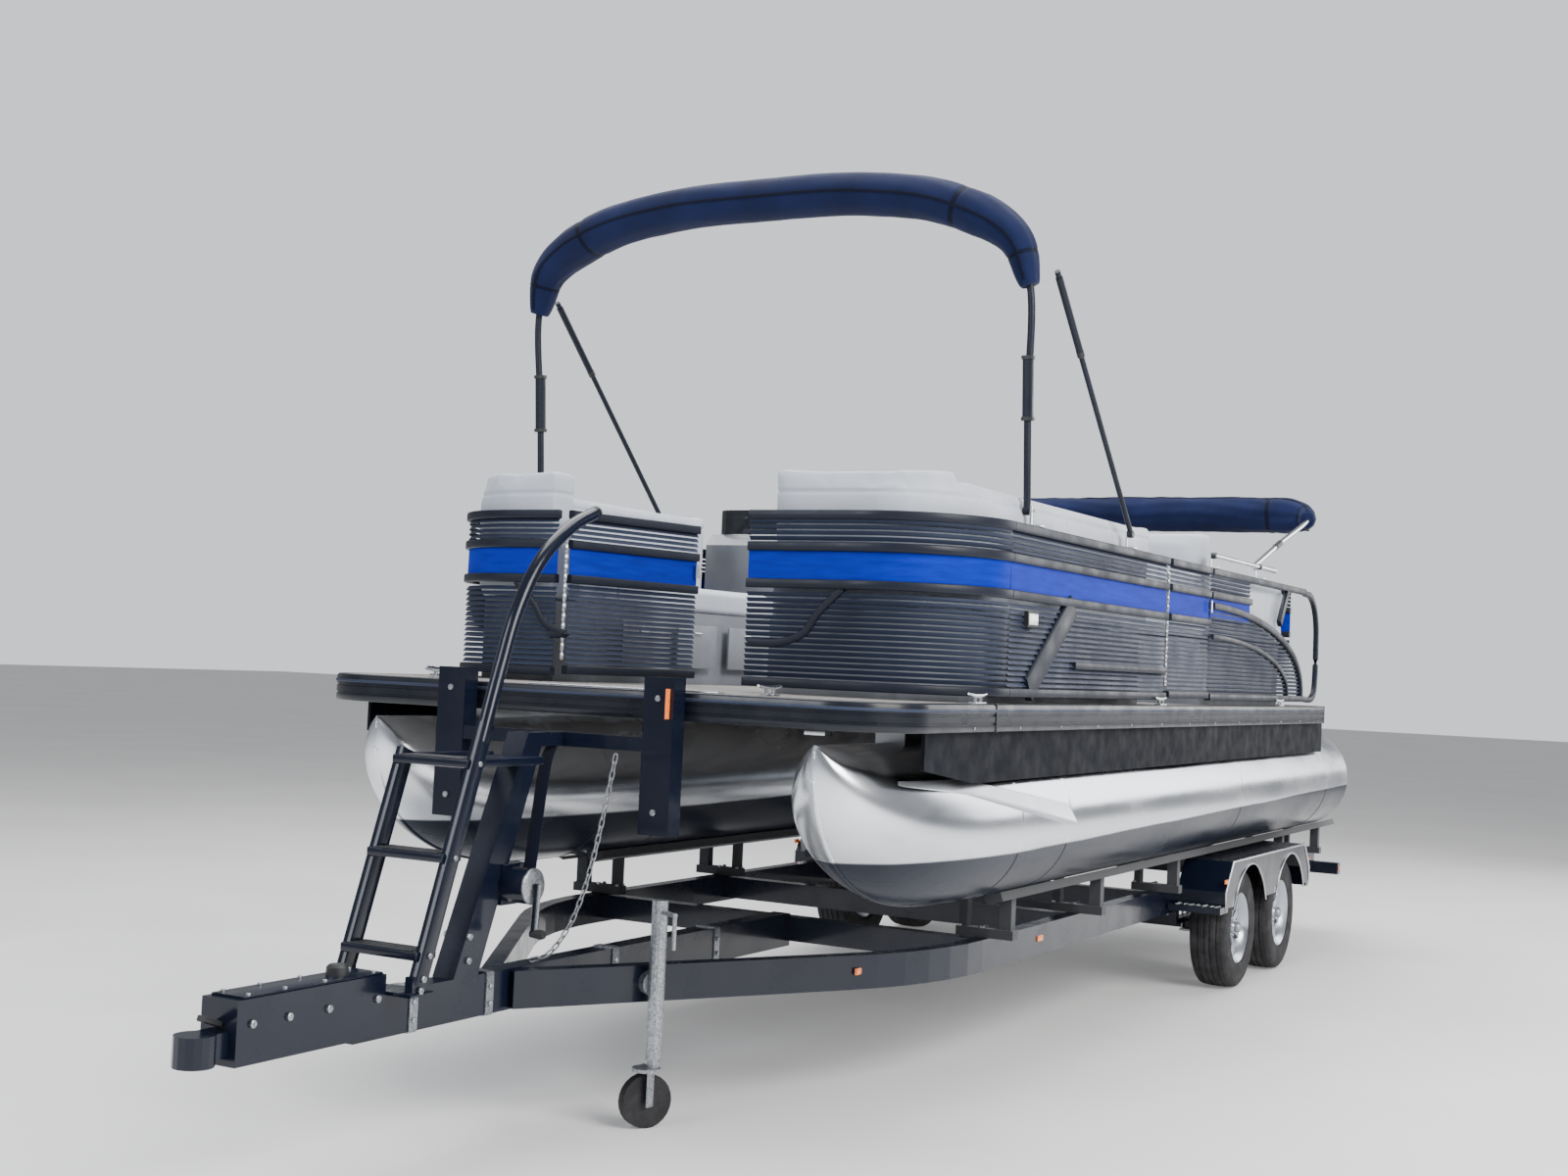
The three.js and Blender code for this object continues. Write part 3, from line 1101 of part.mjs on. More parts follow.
add('tongue_jack', join(
  rod([...jackAt, 236], [...jackAt, 800], 29, 14),
  rod([...jackAt, 196], [...jackAt, 240], 22, 12),
  acrossJack(jackAt, -60, -20, JACK_PIVOT_Z, 44, 16),
  rod([...jackWheelAt, JACK_WHEEL_RADIUS * 2 + 8], [...jackWheelAt, JACK_WHEEL_RADIUS * 2 + 20], 52, 16),
  forkPlate(-38),
  forkPlate(38),
  acrossJack(jackWheelAt, -44, -22, JACK_WHEEL_RADIUS, 9, 10),
  acrossJack(jackWheelAt, 22, 44, JACK_WHEEL_RADIUS, 9, 10),
  acrossJack(jackAt, 20, 120, 760, 9, 8),
  rod([jackAt[0] + railOut[0] * 116, jackAt[1] + railOut[1] * 116, 768],
    [jackAt[0] + railOut[0] * 116, jackAt[1] + railOut[1] * 116, 640], 8, 8),
), zincSteel);
const jackWheelMesh = add('jack_wheel',
  new THREE.CylinderGeometry(JACK_WHEEL_RADIUS, JACK_WHEEL_RADIUS, 40, 24), blackPlastic);
jackWheelMesh.position.set(...jackWheelAt, JACK_WHEEL_RADIUS);
jackWheelMesh.rotation.z = -turn;

// ---------- winch stand, bow stops and boarding ladder ----------
const postFootZ = TONGUE_TOP + GAP;
const stopBarZ = [1330, 1380];
add('winch_stand', join(
  profile([
    [WINCH_POST_FOOT_X - 70, postFootZ], [WINCH_POST_FOOT_X + 60, postFootZ],
    [WINCH_POST_HEAD_X + 50, stopBarZ[1]], [WINCH_POST_HEAD_X - 50, stopBarZ[1]],
  ], -45, 45),
  box(STOP_X - 20, WINCH_POST_HEAD_X, -30, 30, stopBarZ[0], stopBarZ[1]),
  box(STOP_X - 22, STOP_X + 22, -STOP_Y - 120, STOP_Y + 60, stopBarZ[0], stopBarZ[1]),
  [-STOP_Y - 55, STOP_Y].map((y) =>
    box(DECK_LENGTH + 10, STOP_X + 24, y - 62, y + 62, 1040, DECK_TOP + 50)),
  box(WINCH_POST_HEAD_X + 30, WINCH_POST_HEAD_X + 170, -52, 52, 790, 930),
  rod([WINCH_POST_HEAD_X + 120, 40, 860], [WINCH_POST_HEAD_X + 120, 150, 860], 62, 16),
  rod([WINCH_POST_HEAD_X + 120, 140, 860], [WINCH_POST_HEAD_X + 120, 172, 860], 12, 8),
  bar([WINCH_POST_HEAD_X + 120, 166, 870], [WINCH_POST_HEAD_X + 130, 166, 700], 10, 24),
), trailerPaint);

const ladderX = (z) => LADDER_FOOT_X - (z - TONGUE_TOP) * LADDER_LEAN;
const rungs = [690, 990, 1290];
const stringer = (y, top) => bar(
  [ladderX(TONGUE_TOP + 30), y, TONGUE_TOP + 30], [ladderX(top), y, top], 34, 62);
add('boarding_ladder', join(
  box(LADDER_FOOT_X - 70, LADDER_FOOT_X + 40, -LADDER_HALF - 20, LADDER_HALF + 20,
    TONGUE_TOP + GAP, TONGUE_TOP + 12),
  [-LADDER_HALF, LADDER_HALF].map((y) =>
    box(ladderX(TONGUE_TOP + 30) - 40, ladderX(TONGUE_TOP + 30) + 40, y - 15, y + 15,
      TONGUE_TOP + 6, TONGUE_TOP + 60)),
  stringer(-LADDER_HALF, 1320),
  stringer(LADDER_HALF, 1420),
  rungs.map((z) => box(ladderX(z) - 50, ladderX(z) + 50,
    -LADDER_HALF - 4, LADDER_HALF + 4, z - 14, z + 14)),
  bar([ladderX(1290), -LADDER_HALF, 1290], [WINCH_POST_HEAD_X + 80, -LADDER_HALF + 60, 1290], 24, 40),
  pipe([
    [ladderX(1360), LADDER_HALF, 1360],
    [ladderX(1600), LADDER_HALF, 1600],
    [ladderX(1800) - 10, LADDER_HALF, 1800],
    [ladderX(1980) - 70, LADDER_HALF, 1980],
    [ladderX(2110) - 200, LADDER_HALF, 2110],
    [ladderX(2110) - 340, LADDER_HALF, HANDRAIL_TOP],
  ], 24, 16, 10),
  box(WINCH_POST_HEAD_X + 98, ladderX(1290) + 20, -20, LADDER_HALF, 1276, 1304),
), trailerPaint);

// The safety chain hangs from the bow-stop bar down to the tongue.
const chainRoute = [
  [6340, 262, 1318], [6342, 250, 1240], [6350, 232, 1120], [6362, 205, 960],
  [6380, 170, 800], [6404, 128, 680], [6440, 80, 600], [6480, 30, 576],
];
add('safety_chain', pipe(chainRoute, 11, 32, 8), zincSteel);

// ---------- origin ----------
boat.position.x = -(COUPLER_TIP + LIGHT_BAR_X - 25) / 2;

export default boat;
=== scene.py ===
import json
import math

import bmesh
import bpy
import numpy as np
from bpy.props import BoolProperty, FloatProperty, FloatVectorProperty, IntProperty, PointerProperty
from mathutils import Matrix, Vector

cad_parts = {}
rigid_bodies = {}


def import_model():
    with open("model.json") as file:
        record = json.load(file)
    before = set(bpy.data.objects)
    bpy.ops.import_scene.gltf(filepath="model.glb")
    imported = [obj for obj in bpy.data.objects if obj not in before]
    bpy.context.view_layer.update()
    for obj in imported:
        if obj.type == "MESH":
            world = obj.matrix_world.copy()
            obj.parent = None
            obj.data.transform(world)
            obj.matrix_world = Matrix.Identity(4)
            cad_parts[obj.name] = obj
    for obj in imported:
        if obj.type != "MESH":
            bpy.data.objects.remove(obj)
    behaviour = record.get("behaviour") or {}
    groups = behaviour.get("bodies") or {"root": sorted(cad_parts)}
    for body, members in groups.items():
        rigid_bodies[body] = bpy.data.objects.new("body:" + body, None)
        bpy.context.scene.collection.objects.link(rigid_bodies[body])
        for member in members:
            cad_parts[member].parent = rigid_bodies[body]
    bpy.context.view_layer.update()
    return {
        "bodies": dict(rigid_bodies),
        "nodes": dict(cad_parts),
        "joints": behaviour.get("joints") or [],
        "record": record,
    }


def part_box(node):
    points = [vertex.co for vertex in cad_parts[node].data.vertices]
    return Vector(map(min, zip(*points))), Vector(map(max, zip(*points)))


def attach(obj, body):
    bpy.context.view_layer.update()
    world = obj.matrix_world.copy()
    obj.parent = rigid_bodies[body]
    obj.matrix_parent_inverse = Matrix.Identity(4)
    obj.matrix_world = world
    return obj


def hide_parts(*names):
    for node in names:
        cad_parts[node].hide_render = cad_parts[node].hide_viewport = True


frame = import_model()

bl_info = {
    "name": "Pontoon boat on trailer",
    "version": (1, 0, 0),
    "blender": (4, 5, 0),
    "location": "3D View > Sidebar > Pontoon",
    "description": "Dresses the packed pontoon boat and its trailer in their finishes and trim",
    "category": "Object",
}

ROOT = "boat_and_trailer"
NODES = frame["nodes"]
SHIFT = 3.42  # the deck's aft edge lies this far behind the origin
SIDES = (("port", 1.0), ("starboard", -1.0))


# ---------------------------------------------------------------- surfaces
def at(x, y, z):
    """A point measured from the deck's aft edge, in metres, as a point of the frame."""
    return np.array([x - SHIFT, y, z], float)


def line(*points):
    """Points measured from the deck's aft edge, as one array of frame points."""
    return np.array([at(*p) for p in points])


def unit(v):
    return v / np.maximum(np.linalg.norm(v, axis=-1, keepdims=True), 1e-12)


def rounded(width, height, radius, steps=3):
    """A rounded rectangle, anticlockwise: four quarter circles about the inset corners."""
    angle = np.linspace(0, np.pi / 2, steps)
    turn = angle[None, :] + (np.arange(4) * np.pi / 2)[:, None]
    sign = np.array([[1, 1], [-1, 1], [-1, -1], [1, -1]], float)
    centre = sign * [width / 2 - radius, height / 2 - radius]
    ring = centre[:, None] + radius * np.stack([np.cos(turn), np.sin(turn)], -1)
    return ring.reshape(-1, 2)


def circle(radius, sides=20):
    """Points evenly round a circle: radius times cosine and sine of the turn."""
    a = np.linspace(0, 2 * np.pi, sides, endpoint=False)
    return radius * np.stack([np.cos(a), np.sin(a)], -1)


def arc(cx, cy, radius, start, stop, steps=12):
    """Points of a circle's arc between two angles in degrees."""
    a = np.radians(np.linspace(start, stop, steps))
    return np.stack([cx + radius * np.cos(a), cy + radius * np.sin(a)], -1)


def spline(points, count=80):
    """A centripetal Catmull-Rom curve through the points, sampled at even parameter steps."""
    p = np.asarray(points, float)
    p = np.vstack([2 * p[0] - p[1], p, 2 * p[-1] - p[-2]])
    knots = np.concatenate([[0], np.cumsum(np.sqrt(np.linalg.norm(np.diff(p, axis=0), axis=1)))])
    t = np.linspace(knots[1], knots[-2], count)
    k = np.clip(np.searchsorted(knots, t, side="right") - 1, 1, len(p) - 3)
    k0, k1, k2, k3 = (knots[k + i][:, None] for i in (-1, 0, 1, 2))
    p0, p1, p2, p3 = (p[k + i] for i in (-1, 0, 1, 2))
    t = t[:, None]
    a1 = (k1 - t) / (k1 - k0) * p0 + (t - k0) / (k1 - k0) * p1
    a2 = (k2 - t) / (k2 - k1) * p1 + (t - k1) / (k2 - k1) * p2
    a3 = (k3 - t) / (k3 - k2) * p2 + (t - k2) / (k3 - k2) * p3
    b1 = (k2 - t) / (k2 - k0) * a1 + (t - k0) / (k2 - k0) * a2
    b2 = (k3 - t) / (k3 - k1) * a2 + (t - k1) / (k3 - k1) * a3
    return (k2 - t) / (k2 - k1) * b1 + (t - k1) / (k2 - k1) * b2


def sweep(path, section, up=(0, 0, 1), size=1.0):
    """A section carried along a path: each ring is the path's point plus the section laid on
    the directions across the path, stretched at a bend so that the walls stay parallel."""
    p = np.asarray(path, float)
    run = unit(np.diff(p, axis=0))
    ahead = unit(np.vstack([run[:1], run[:-1] + run[1:], run[-1:]]))
    side = unit(np.cross(np.broadcast_to(up, ahead.shape), ahead))
    top = np.cross(ahead, side)
    bend = np.concatenate([[1.0], 1 / np.maximum((run[:-1] * ahead[1:-1]).sum(1), 0.5), [1.0]])
    size = np.broadcast_to(size, len(p))[:, None, None]
    across = section[None, :, :1] * side[:, None] * bend[:, None, None]
    return p[:, None] + (across + section[None, :, 1:] * top[:, None]) * size


def bar(p, q, width, height, radius=0.003, up=(0, 0, 1)):
    """A straight bar with a rounded rectangular section from p to q."""
    return sweep([p, q], rounded(width, height, radius), up)


def pin(p, q, radius, sides=20):
    """A straight round pin from p to q."""
    p, q = np.asarray(p, float), np.asarray(q, float)
    up = (1, 0, 0) if abs(unit(q - p)[2]) > 0.9 else (0, 0, 1)
    return sweep([p, q], circle(radius, sides), up)


def head(p, direction, radius, height, sides=6):
    """A bolt's head: a six-sided prism with a narrower crown, standing on p."""
    d = unit(np.asarray(direction, float))
    p = np.asarray(p, float)
    up = (1, 0, 0) if abs(d[2]) > 0.9 else (0, 0, 1)
    path = np.array([p, p + d * height * 0.8, p + d * height])
    return sweep(path, circle(radius, sides), up, [1, 1, 0.8])


def turned(profile, centre, axis, segments=48, ripple=None):
    """A profile of (radius, distance along the axis) turned about an axis through the centre.
    ripple, where given, adds to the radius for each turn angle and profile point."""
    profile = np.asarray(profile, float)
    axis = unit(np.asarray(axis, float))
    other = unit(np.cross(axis, (0, 0, 1) if abs(axis[2]) < 0.9 else (1, 0, 0)))
    third = np.cross(axis, other)
    a = np.linspace(0, 2 * np.pi, segments, endpoint=False)
    radius = np.broadcast_to(profile[None, :, 0], (segments, len(profile))).copy()
    if ripple is not None:
        radius += ripple(a[:, None], profile[None])
    ring = np.cos(a)[:, None, None] * other + np.sin(a)[:, None, None] * third
    return np.asarray(centre) + radius[..., None] * ring + profile[None, :, 1:] * axis


def mirrored(grid):
    """The same surface on the other side of the boat, its faces still outwards."""
    return grid[:, ::-1] * [1, -1, 1]


def faces_of(rows, columns, wrap_rows=False, wrap_columns=True):
    """Corner numbers of every quad in a grid of points."""
    i = np.arange(rows if wrap_rows else rows - 1)[:, None]
    j = np.arange(columns if wrap_columns else columns - 1)[None]
    i2, j2 = (i + 1) % rows, (j + 1) % columns
    quad = [i * columns + j, i * columns + j2, i2 * columns + j2, i2 * columns + j]
    return np.stack([np.broadcast_to(q, (i.size, j.size)) for q in quad], -1).reshape(-1, 4)


WRAPS = {"bar": (False, True), "skin": (False, True), "turned": (True, False), "loop": (True, True),
         "sheet": (False, False)}


def build(name, parts, finishes, body=ROOT, replaces=(), crease=35):
    """One object from many grids. A part is (grid, finish number, kind). A bar has closed
    sections and capped ends, a skin has no caps, a turned part closes round its axis, a loop
    closes both ways and a sheet neither. A part whose volume comes out negative is turned."""
    points, faces, kinds, start = [], [], [], 0
    for part in parts:
        grid, number = part[0], part[1]
        kind = part[2] if len(part) > 2 else "bar"
        rows, columns = grid.shape[:2]
        flat = grid.reshape(-1, 3)
        quads = faces_of(rows, columns, *WRAPS[kind])
        a, b, c, d = (flat[quads[:, k]] - flat.mean(0) for k in range(4))
        volume = (a * np.cross(b, c)).sum() + (a * np.cross(c, d)).sum()
        order = slice(None, None, -1 if volume < 0 and kind != "sheet" else 1)
        found = quads[:, order].tolist()
        if kind == "bar":
            first = np.arange(columns)
            found += [first[::-1][order].tolist(), (first + (rows - 1) * columns)[order].tolist()]
        faces += [[corner + start for corner in face] for face in found]
        kinds += [number] * len(found)
        points.append(flat)
        start += rows * columns
    mesh = bpy.data.meshes.new(name)
    mesh.from_pydata(np.vstack(points), [], faces)
    for look in finishes:
        mesh.materials.append(look)
    mesh.polygons.foreach_set("material_index", kinds)
    mesh.polygons.foreach_set("use_smooth", [True] * len(faces))
    shape = bmesh.new()
    shape.from_mesh(mesh)
    bmesh.ops.remove_doubles(shape, verts=shape.verts, dist=1e-6)
    shape.to_mesh(mesh)
    shape.free()
    mesh.update()
    mesh.set_sharp_from_angle(angle=math.radians(crease))
    piece = bpy.data.objects.new(name, mesh)
    bpy.context.scene.collection.objects.link(piece)
    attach(piece, body)
    if replaces:
        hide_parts(*replaces)
    return piece


# ---------------------------------------------------------------- finishes
def finish(name, color, roughness, metallic=0.0, **sockets):
    """A new material and its shader, with steady values set straight on the sockets."""
    made = bpy.data.materials.new(name)
    made.use_nodes = True
    shader = made.node_tree.nodes["Principled BSDF"]
    shader.inputs["Base Color"].default_value = (*color, 1)
    shader.inputs["Roughness"].default_value = roughness
    shader.inputs["Metallic"].default_value = metallic
    for socket, value in sockets.items():
        shader.inputs[socket.replace("_", " ")].default_value = value
    return made


def node(made, kind, **values):
    """A node with its named inputs or settings filled in."""
    n = made.node_tree.nodes.new(kind)
    for key, value in values.items():
        if hasattr(n, key):
            setattr(n, key, value)
        else:
            n.inputs[key.replace("_", " ")].default_value = value
    return n


def link(made, a, b):
    made.node_tree.links.new(a, b)


def place(made, scale=(1, 1, 1)):
    """Object coordinates, stretched by a mapping."""
    coordinates = node(made, "ShaderNodeTexCoord")
    mapping = node(made, "ShaderNodeMapping")
    mapping.inputs["Scale"].default_value = scale
    link(made, coordinates.outputs["Object"], mapping.inputs["Vector"])
    return mapping.outputs["Vector"]


def noise(made, vector, scale, detail=4.0, rough=0.55):
    n = node(made, "ShaderNodeTexNoise", Scale=scale, Detail=detail, Roughness=rough)
    link(made, vector, n.inputs["Vector"])
    return n.outputs["Fac"]


def ramp(made, value, stops):
    """A colour ramp over a value, from (position, colour) stops."""
    n = node(made, "ShaderNodeValToRGB")
    elements = n.color_ramp.elements
    while len(elements) < len(stops):
        elements.new(0.5)
    for element, (position, color) in zip(elements, stops):
        element.position = position
        element.color = (*color, 1) if len(color) == 3 else color
    link(made, value, n.inputs["Fac"])
    return n.outputs["Color"]


def grey(v):
    return (v, v, v)


def shade(made, value, low, high, start=0.3, stop=0.7, socket="Base Color"):
    """Drives a shader socket from a value through a two-stop ramp."""
    color = ramp(made, value, [(start, low), (stop, high)])
    link(made, color, made.node_tree.nodes["Principled BSDF"].inputs[socket])


def bump(made, height, strength=0.2, distance=0.001):
    """Adds a height to the surface's relief, on top of what is there."""
    shader = made.node_tree.nodes["Principled BSDF"]
    n = node(made, "ShaderNodeBump", Strength=strength, Distance=distance)
    before = shader.inputs["Normal"].links
    if before:
        link(made, before[0].from_socket, n.inputs["Normal"])
    link(made, height, n.inputs["Height"])
    link(made, n.outputs["Normal"], shader.inputs["Normal"])


def tone(c, k):
    return tuple(min(1.0, v * k) for v in c)


def painted(name, color, roughness=0.28, metallic=0.2, coat=0.6, peel=55.0, grime=0.35, **sockets):
    """Gloss paint: faint colour drift, orange-peel relief, road dust and a clear coat."""
    made = finish(name, color, roughness, metallic, Coat_Weight=coat, Coat_Roughness=0.08, **sockets)
    space = place(made)
    shade(made, noise(made, space, 2.6, 6), tone(color, 1 - grime * 0.35), tone(color, 1 + grime), 0.25, 0.8)
    shade(made, noise(made, space, 7.0, 8), grey(roughness * 0.75), grey(min(1, roughness * 1.5)),
          0.3, 0.75, "Roughness")
    bump(made, noise(made, space, peel, 2), 0.06, 0.0006)
    return made


def metal(name, color, roughness=0.3, brush=(3, 90, 90), blotch=2.2, **sockets):
    """Bare metal: fine lines along the brushing and cloudy patches of oxide."""
    made = finish(name, color, roughness, 1.0, **sockets)
    lines = noise(made, place(made, brush), 9.0, 3)
    clouds = noise(made, place(made), blotch, 7)
    shade(made, clouds, tone(color, 0.82), tone(color, 1.08), 0.3, 0.75)
    shade(made, clouds, grey(roughness * 0.7), grey(min(1, roughness * 1.5)), 0.3, 0.72, "Roughness")
    bump(made, lines, 0.05, 0.0004)
    return made


def galvanised(name="galvanised"):
    """Zinc: crystal patches of different greys under a dull film."""
    made = finish(name, (0.55, 0.57, 0.6), 0.42, 0.9)
    cells = node(made, "ShaderNodeTexVoronoi", Scale=160.0)
    link(made, place(made), cells.inputs["Vector"])
    shade(made, cells.outputs["Color"], (0.2, 0.215, 0.24), (0.46, 0.48, 0.51), 0.1, 0.9)
    bump(made, cells.outputs["Distance"], 0.12, 0.0005)
    return made


def vinyl(name, color, roughness=0.5):
    """Upholstery vinyl: pebbled grain of small cells, soft creases and a worn sheen."""
    made = finish(name, color, roughness, Sheen_Weight=0.08, Specular_IOR_Level=0.4)
    space = place(made)
    cells = node(made, "ShaderNodeTexVoronoi", Scale=420.0, feature="SMOOTH_F1")
    link(made, space, cells.inputs["Vector"])
    drift = noise(made, space, 3.0, 5)
    shade(made, drift, tone(color, 0.88), tone(color, 1.06), 0.3, 0.75)
    shade(made, noise(made, space, 9.0, 6), grey(roughness * 0.8), grey(roughness * 1.35), 0.3, 0.7,
          "Roughness")
    bump(made, cells.outputs["Distance"], 0.16, 0.0008)
    bump(made, noise(made, space, 14.0, 4), 0.18, 0.004)
    return made


def canvas(name, color):
    """Marine canvas: a plain weave of crossing threads with faded and darker patches."""
    made = finish(name, color, 0.9, Sheen_Weight=0.08, Sheen_Roughness=0.5, Specular_IOR_Level=0.15)
    space = place(made)
    weave = []
    for scale in ((1, 0.3, 1), (0.3, 1, 0.3)):
        n = node(made, "ShaderNodeTexWave", Scale=260.0, Distortion=0.4, wave_profile="SIN")
        link(made, place(made, scale), n.inputs["Vector"])
        weave.append(n.outputs["Fac"])
    both = node(made, "ShaderNodeMath", operation="MAXIMUM")
    link(made, weave[0], both.inputs[0])
    link(made, weave[1], both.inputs[1])
    shade(made, noise(made, space, 4.0, 8), tone(color, 0.7), tone(color, 1.5), 0.25, 0.8)
    bump(made, both.outputs[0], 0.2, 0.0008)
    bump(made, noise(made, space, 16.0, 6), 0.3, 0.004)
    return made


def plastic(name, color, roughness=0.45, grain=380.0, **sockets):
    """Moulded plastic: a fine spark-eroded grain and slight shine marks."""
    made = finish(name, color, roughness, **sockets)
    space = place(made)
    shade(made, noise(made, space, 5.0, 5), tone(color, 0.85), tone(color, 1.18), 0.3, 0.75)
    shade(made, noise(made, space, 11.0, 5), grey(roughness * 0.8), grey(min(1, roughness * 1.3)),
          0.3, 0.7, "Roughness")
    bump(made, noise(made, space, grain, 2), 0.12, 0.0004)
    return made


def pontoon_skin(name="pontoon_skin"):
    """Rolled aluminium plate above a line, dark hull paint below it, with a soft edge
    and faint dents; ahead of the widest part the line is level, and aft it climbs."""
    made = finish(name, (0.8, 0.83, 0.86), 0.22, 1.0, Anisotropic=0.35)
    space = place(made)
    split = node(made, "ShaderNodeSeparateXYZ")
    link(made, space, split.inputs[0])
    waver = noise(made, space, 0.9, 3)
    lift = node(made, "ShaderNodeMath", operation="MULTIPLY_ADD")
    lift.inputs[1].default_value = -0.02
    link(made, waver, lift.inputs[0])
    link(made, split.outputs["Z"], lift.inputs[2])
    rise = node(made, "ShaderNodeMapRange", From_Min=4.4 - SHIFT, From_Max=-0.8 - SHIFT, To_Min=0.0,
                To_Max=-0.065)
    link(made, split.outputs["X"], rise.inputs["Value"])
    level = node(made, "ShaderNodeMath", operation="ADD")
    link(made, lift.outputs[0], level.inputs[0])
    link(made, rise.outputs[0], level.inputs[1])
    paint = node(made, "ShaderNodeMapRange", From_Min=PAINT_LINE - 0.004, From_Max=PAINT_LINE + 0.004)
    link(made, level.outputs[0], paint.inputs["Value"])
    clouds = noise(made, place(made, (0.5, 1, 1.4)), 2.4, 7)
    plate = ramp(made, clouds, [(0.3, (0.62, 0.66, 0.72)), (0.75, (0.9, 0.92, 0.95))])
    hull = ramp(made, clouds, [(0.3, (0.008, 0.011, 0.02)), (0.8, (0.022, 0.028, 0.045))])
    shader = made.node_tree.nodes["Principled BSDF"]
    mix = node(made, "ShaderNodeMix", data_type="RGBA")
    link(made, paint.outputs[0], mix.inputs[0])
    link(made, hull, mix.inputs[6])
    link(made, plate, mix.inputs[7])
    link(made, mix.outputs[2], shader.inputs["Base Color"])
    link(made, paint.outputs[0], shader.inputs["Metallic"])
    shader.inputs["Specular IOR Level"].default_value = 0.15
    sheen = ramp(made, clouds, [(0.3, grey(0.16)), (0.75, grey(0.34))])
    link(made, sheen, shader.inputs["Roughness"])
    bump(made, noise(made, place(made, (1, 60, 60)), 6.0, 2), 0.05, 0.0003)
    bump(made, noise(made, place(made), 2.0, 2), 0.14, 0.008)
    return made


def deck_covering(name="deck_covering"):
    """Woven deck vinyl: a basket weave of flat cords with lighter flecks."""
    made = finish(name, (0.32, 0.31, 0.3), 0.8, Specular_IOR_Level=0.3)
    checks = node(made, "ShaderNodeTexBrick", Scale=42.0, Mortar_Size=0.02)
    link(made, place(made), checks.inputs["Vector"])
    checks.inputs["Color1"].default_value = (0.2, 0.19, 0.185, 1)
    checks.inputs["Color2"].default_value = (0.36, 0.345, 0.33, 1)
    checks.inputs["Mortar"].default_value = (0.08, 0.078, 0.075, 1)
    link(made, checks.outputs["Color"], made.node_tree.nodes["Principled BSDF"].inputs["Base Color"])
    bump(made, checks.outputs["Fac"], 0.35, 0.0015)
    bump(made, noise(made, place(made), 160.0, 3), 0.2, 0.001)
    return made


def carpet(name, color):
    """Short-pile carpet: tangled tufts with deep shade between them."""
    made = finish(name, color, 0.97, Sheen_Weight=0.3, Specular_IOR_Level=0.1)
    tuft = noise(made, place(made), 320.0, 5, 0.8)
    shade(made, tuft, tone(color, 0.4), tone(color, 1.9), 0.3, 0.7)
    bump(made, tuft, 0.7, 0.002)
    return made


def rubber(name, color=(0.02, 0.02, 0.022), roughness=0.82):
    """Tyre rubber: matt, dusty in patches, with a fine texture."""
    made = finish(name, color, roughness, Specular_IOR_Level=0.3)
    dust = noise(made, place(made), 12.0, 8, 0.65)
    shade(made, dust, color, tone(color, 3.4), 0.45, 0.85)
    bump(made, noise(made, place(made), 240.0, 3), 0.25, 0.0006)
    return made


def tinted(name, color, roughness, through, **sockets):
    """A tinted sheet that light partly passes through, with faint streaks in its gloss."""
    made = finish(name, color, roughness, Transmission_Weight=through, IOR=1.49, **sockets)
    streak = noise(made, place(made, (1, 1, 8)), 6.0, 4)
    shade(made, streak, tone(color, 0.8), tone(color, 1.25), 0.3, 0.75)
    bump(made, streak, 0.03, 0.0008)
    return made


def lens_with_painted_glow(name, color):
    """A ribbed lamp lens or reflector, with a faint painted glow in its own colour that makes it look lit.
    """
    # painted glow: the lens gives off its own colour faintly, though no lamp in it is lit
    made = finish(name, color, 0.18, Coat_Weight=0.5, Emission_Strength=0.15)
    made.node_tree.nodes["Principled BSDF"].inputs["Emission Color"].default_value = (*color, 1)
    rib = node(made, "ShaderNodeTexVoronoi", Scale=260.0)
    link(made, place(made), rib.inputs["Vector"])
    shade(made, rib.outputs["Distance"], tone(color, 0.6), tone(color, 1.3), 0.1, 0.7)
    bump(made, rib.outputs["Distance"], 0.4, 0.0008)
    return made


PAINT_LINE = 0.962
F = {}


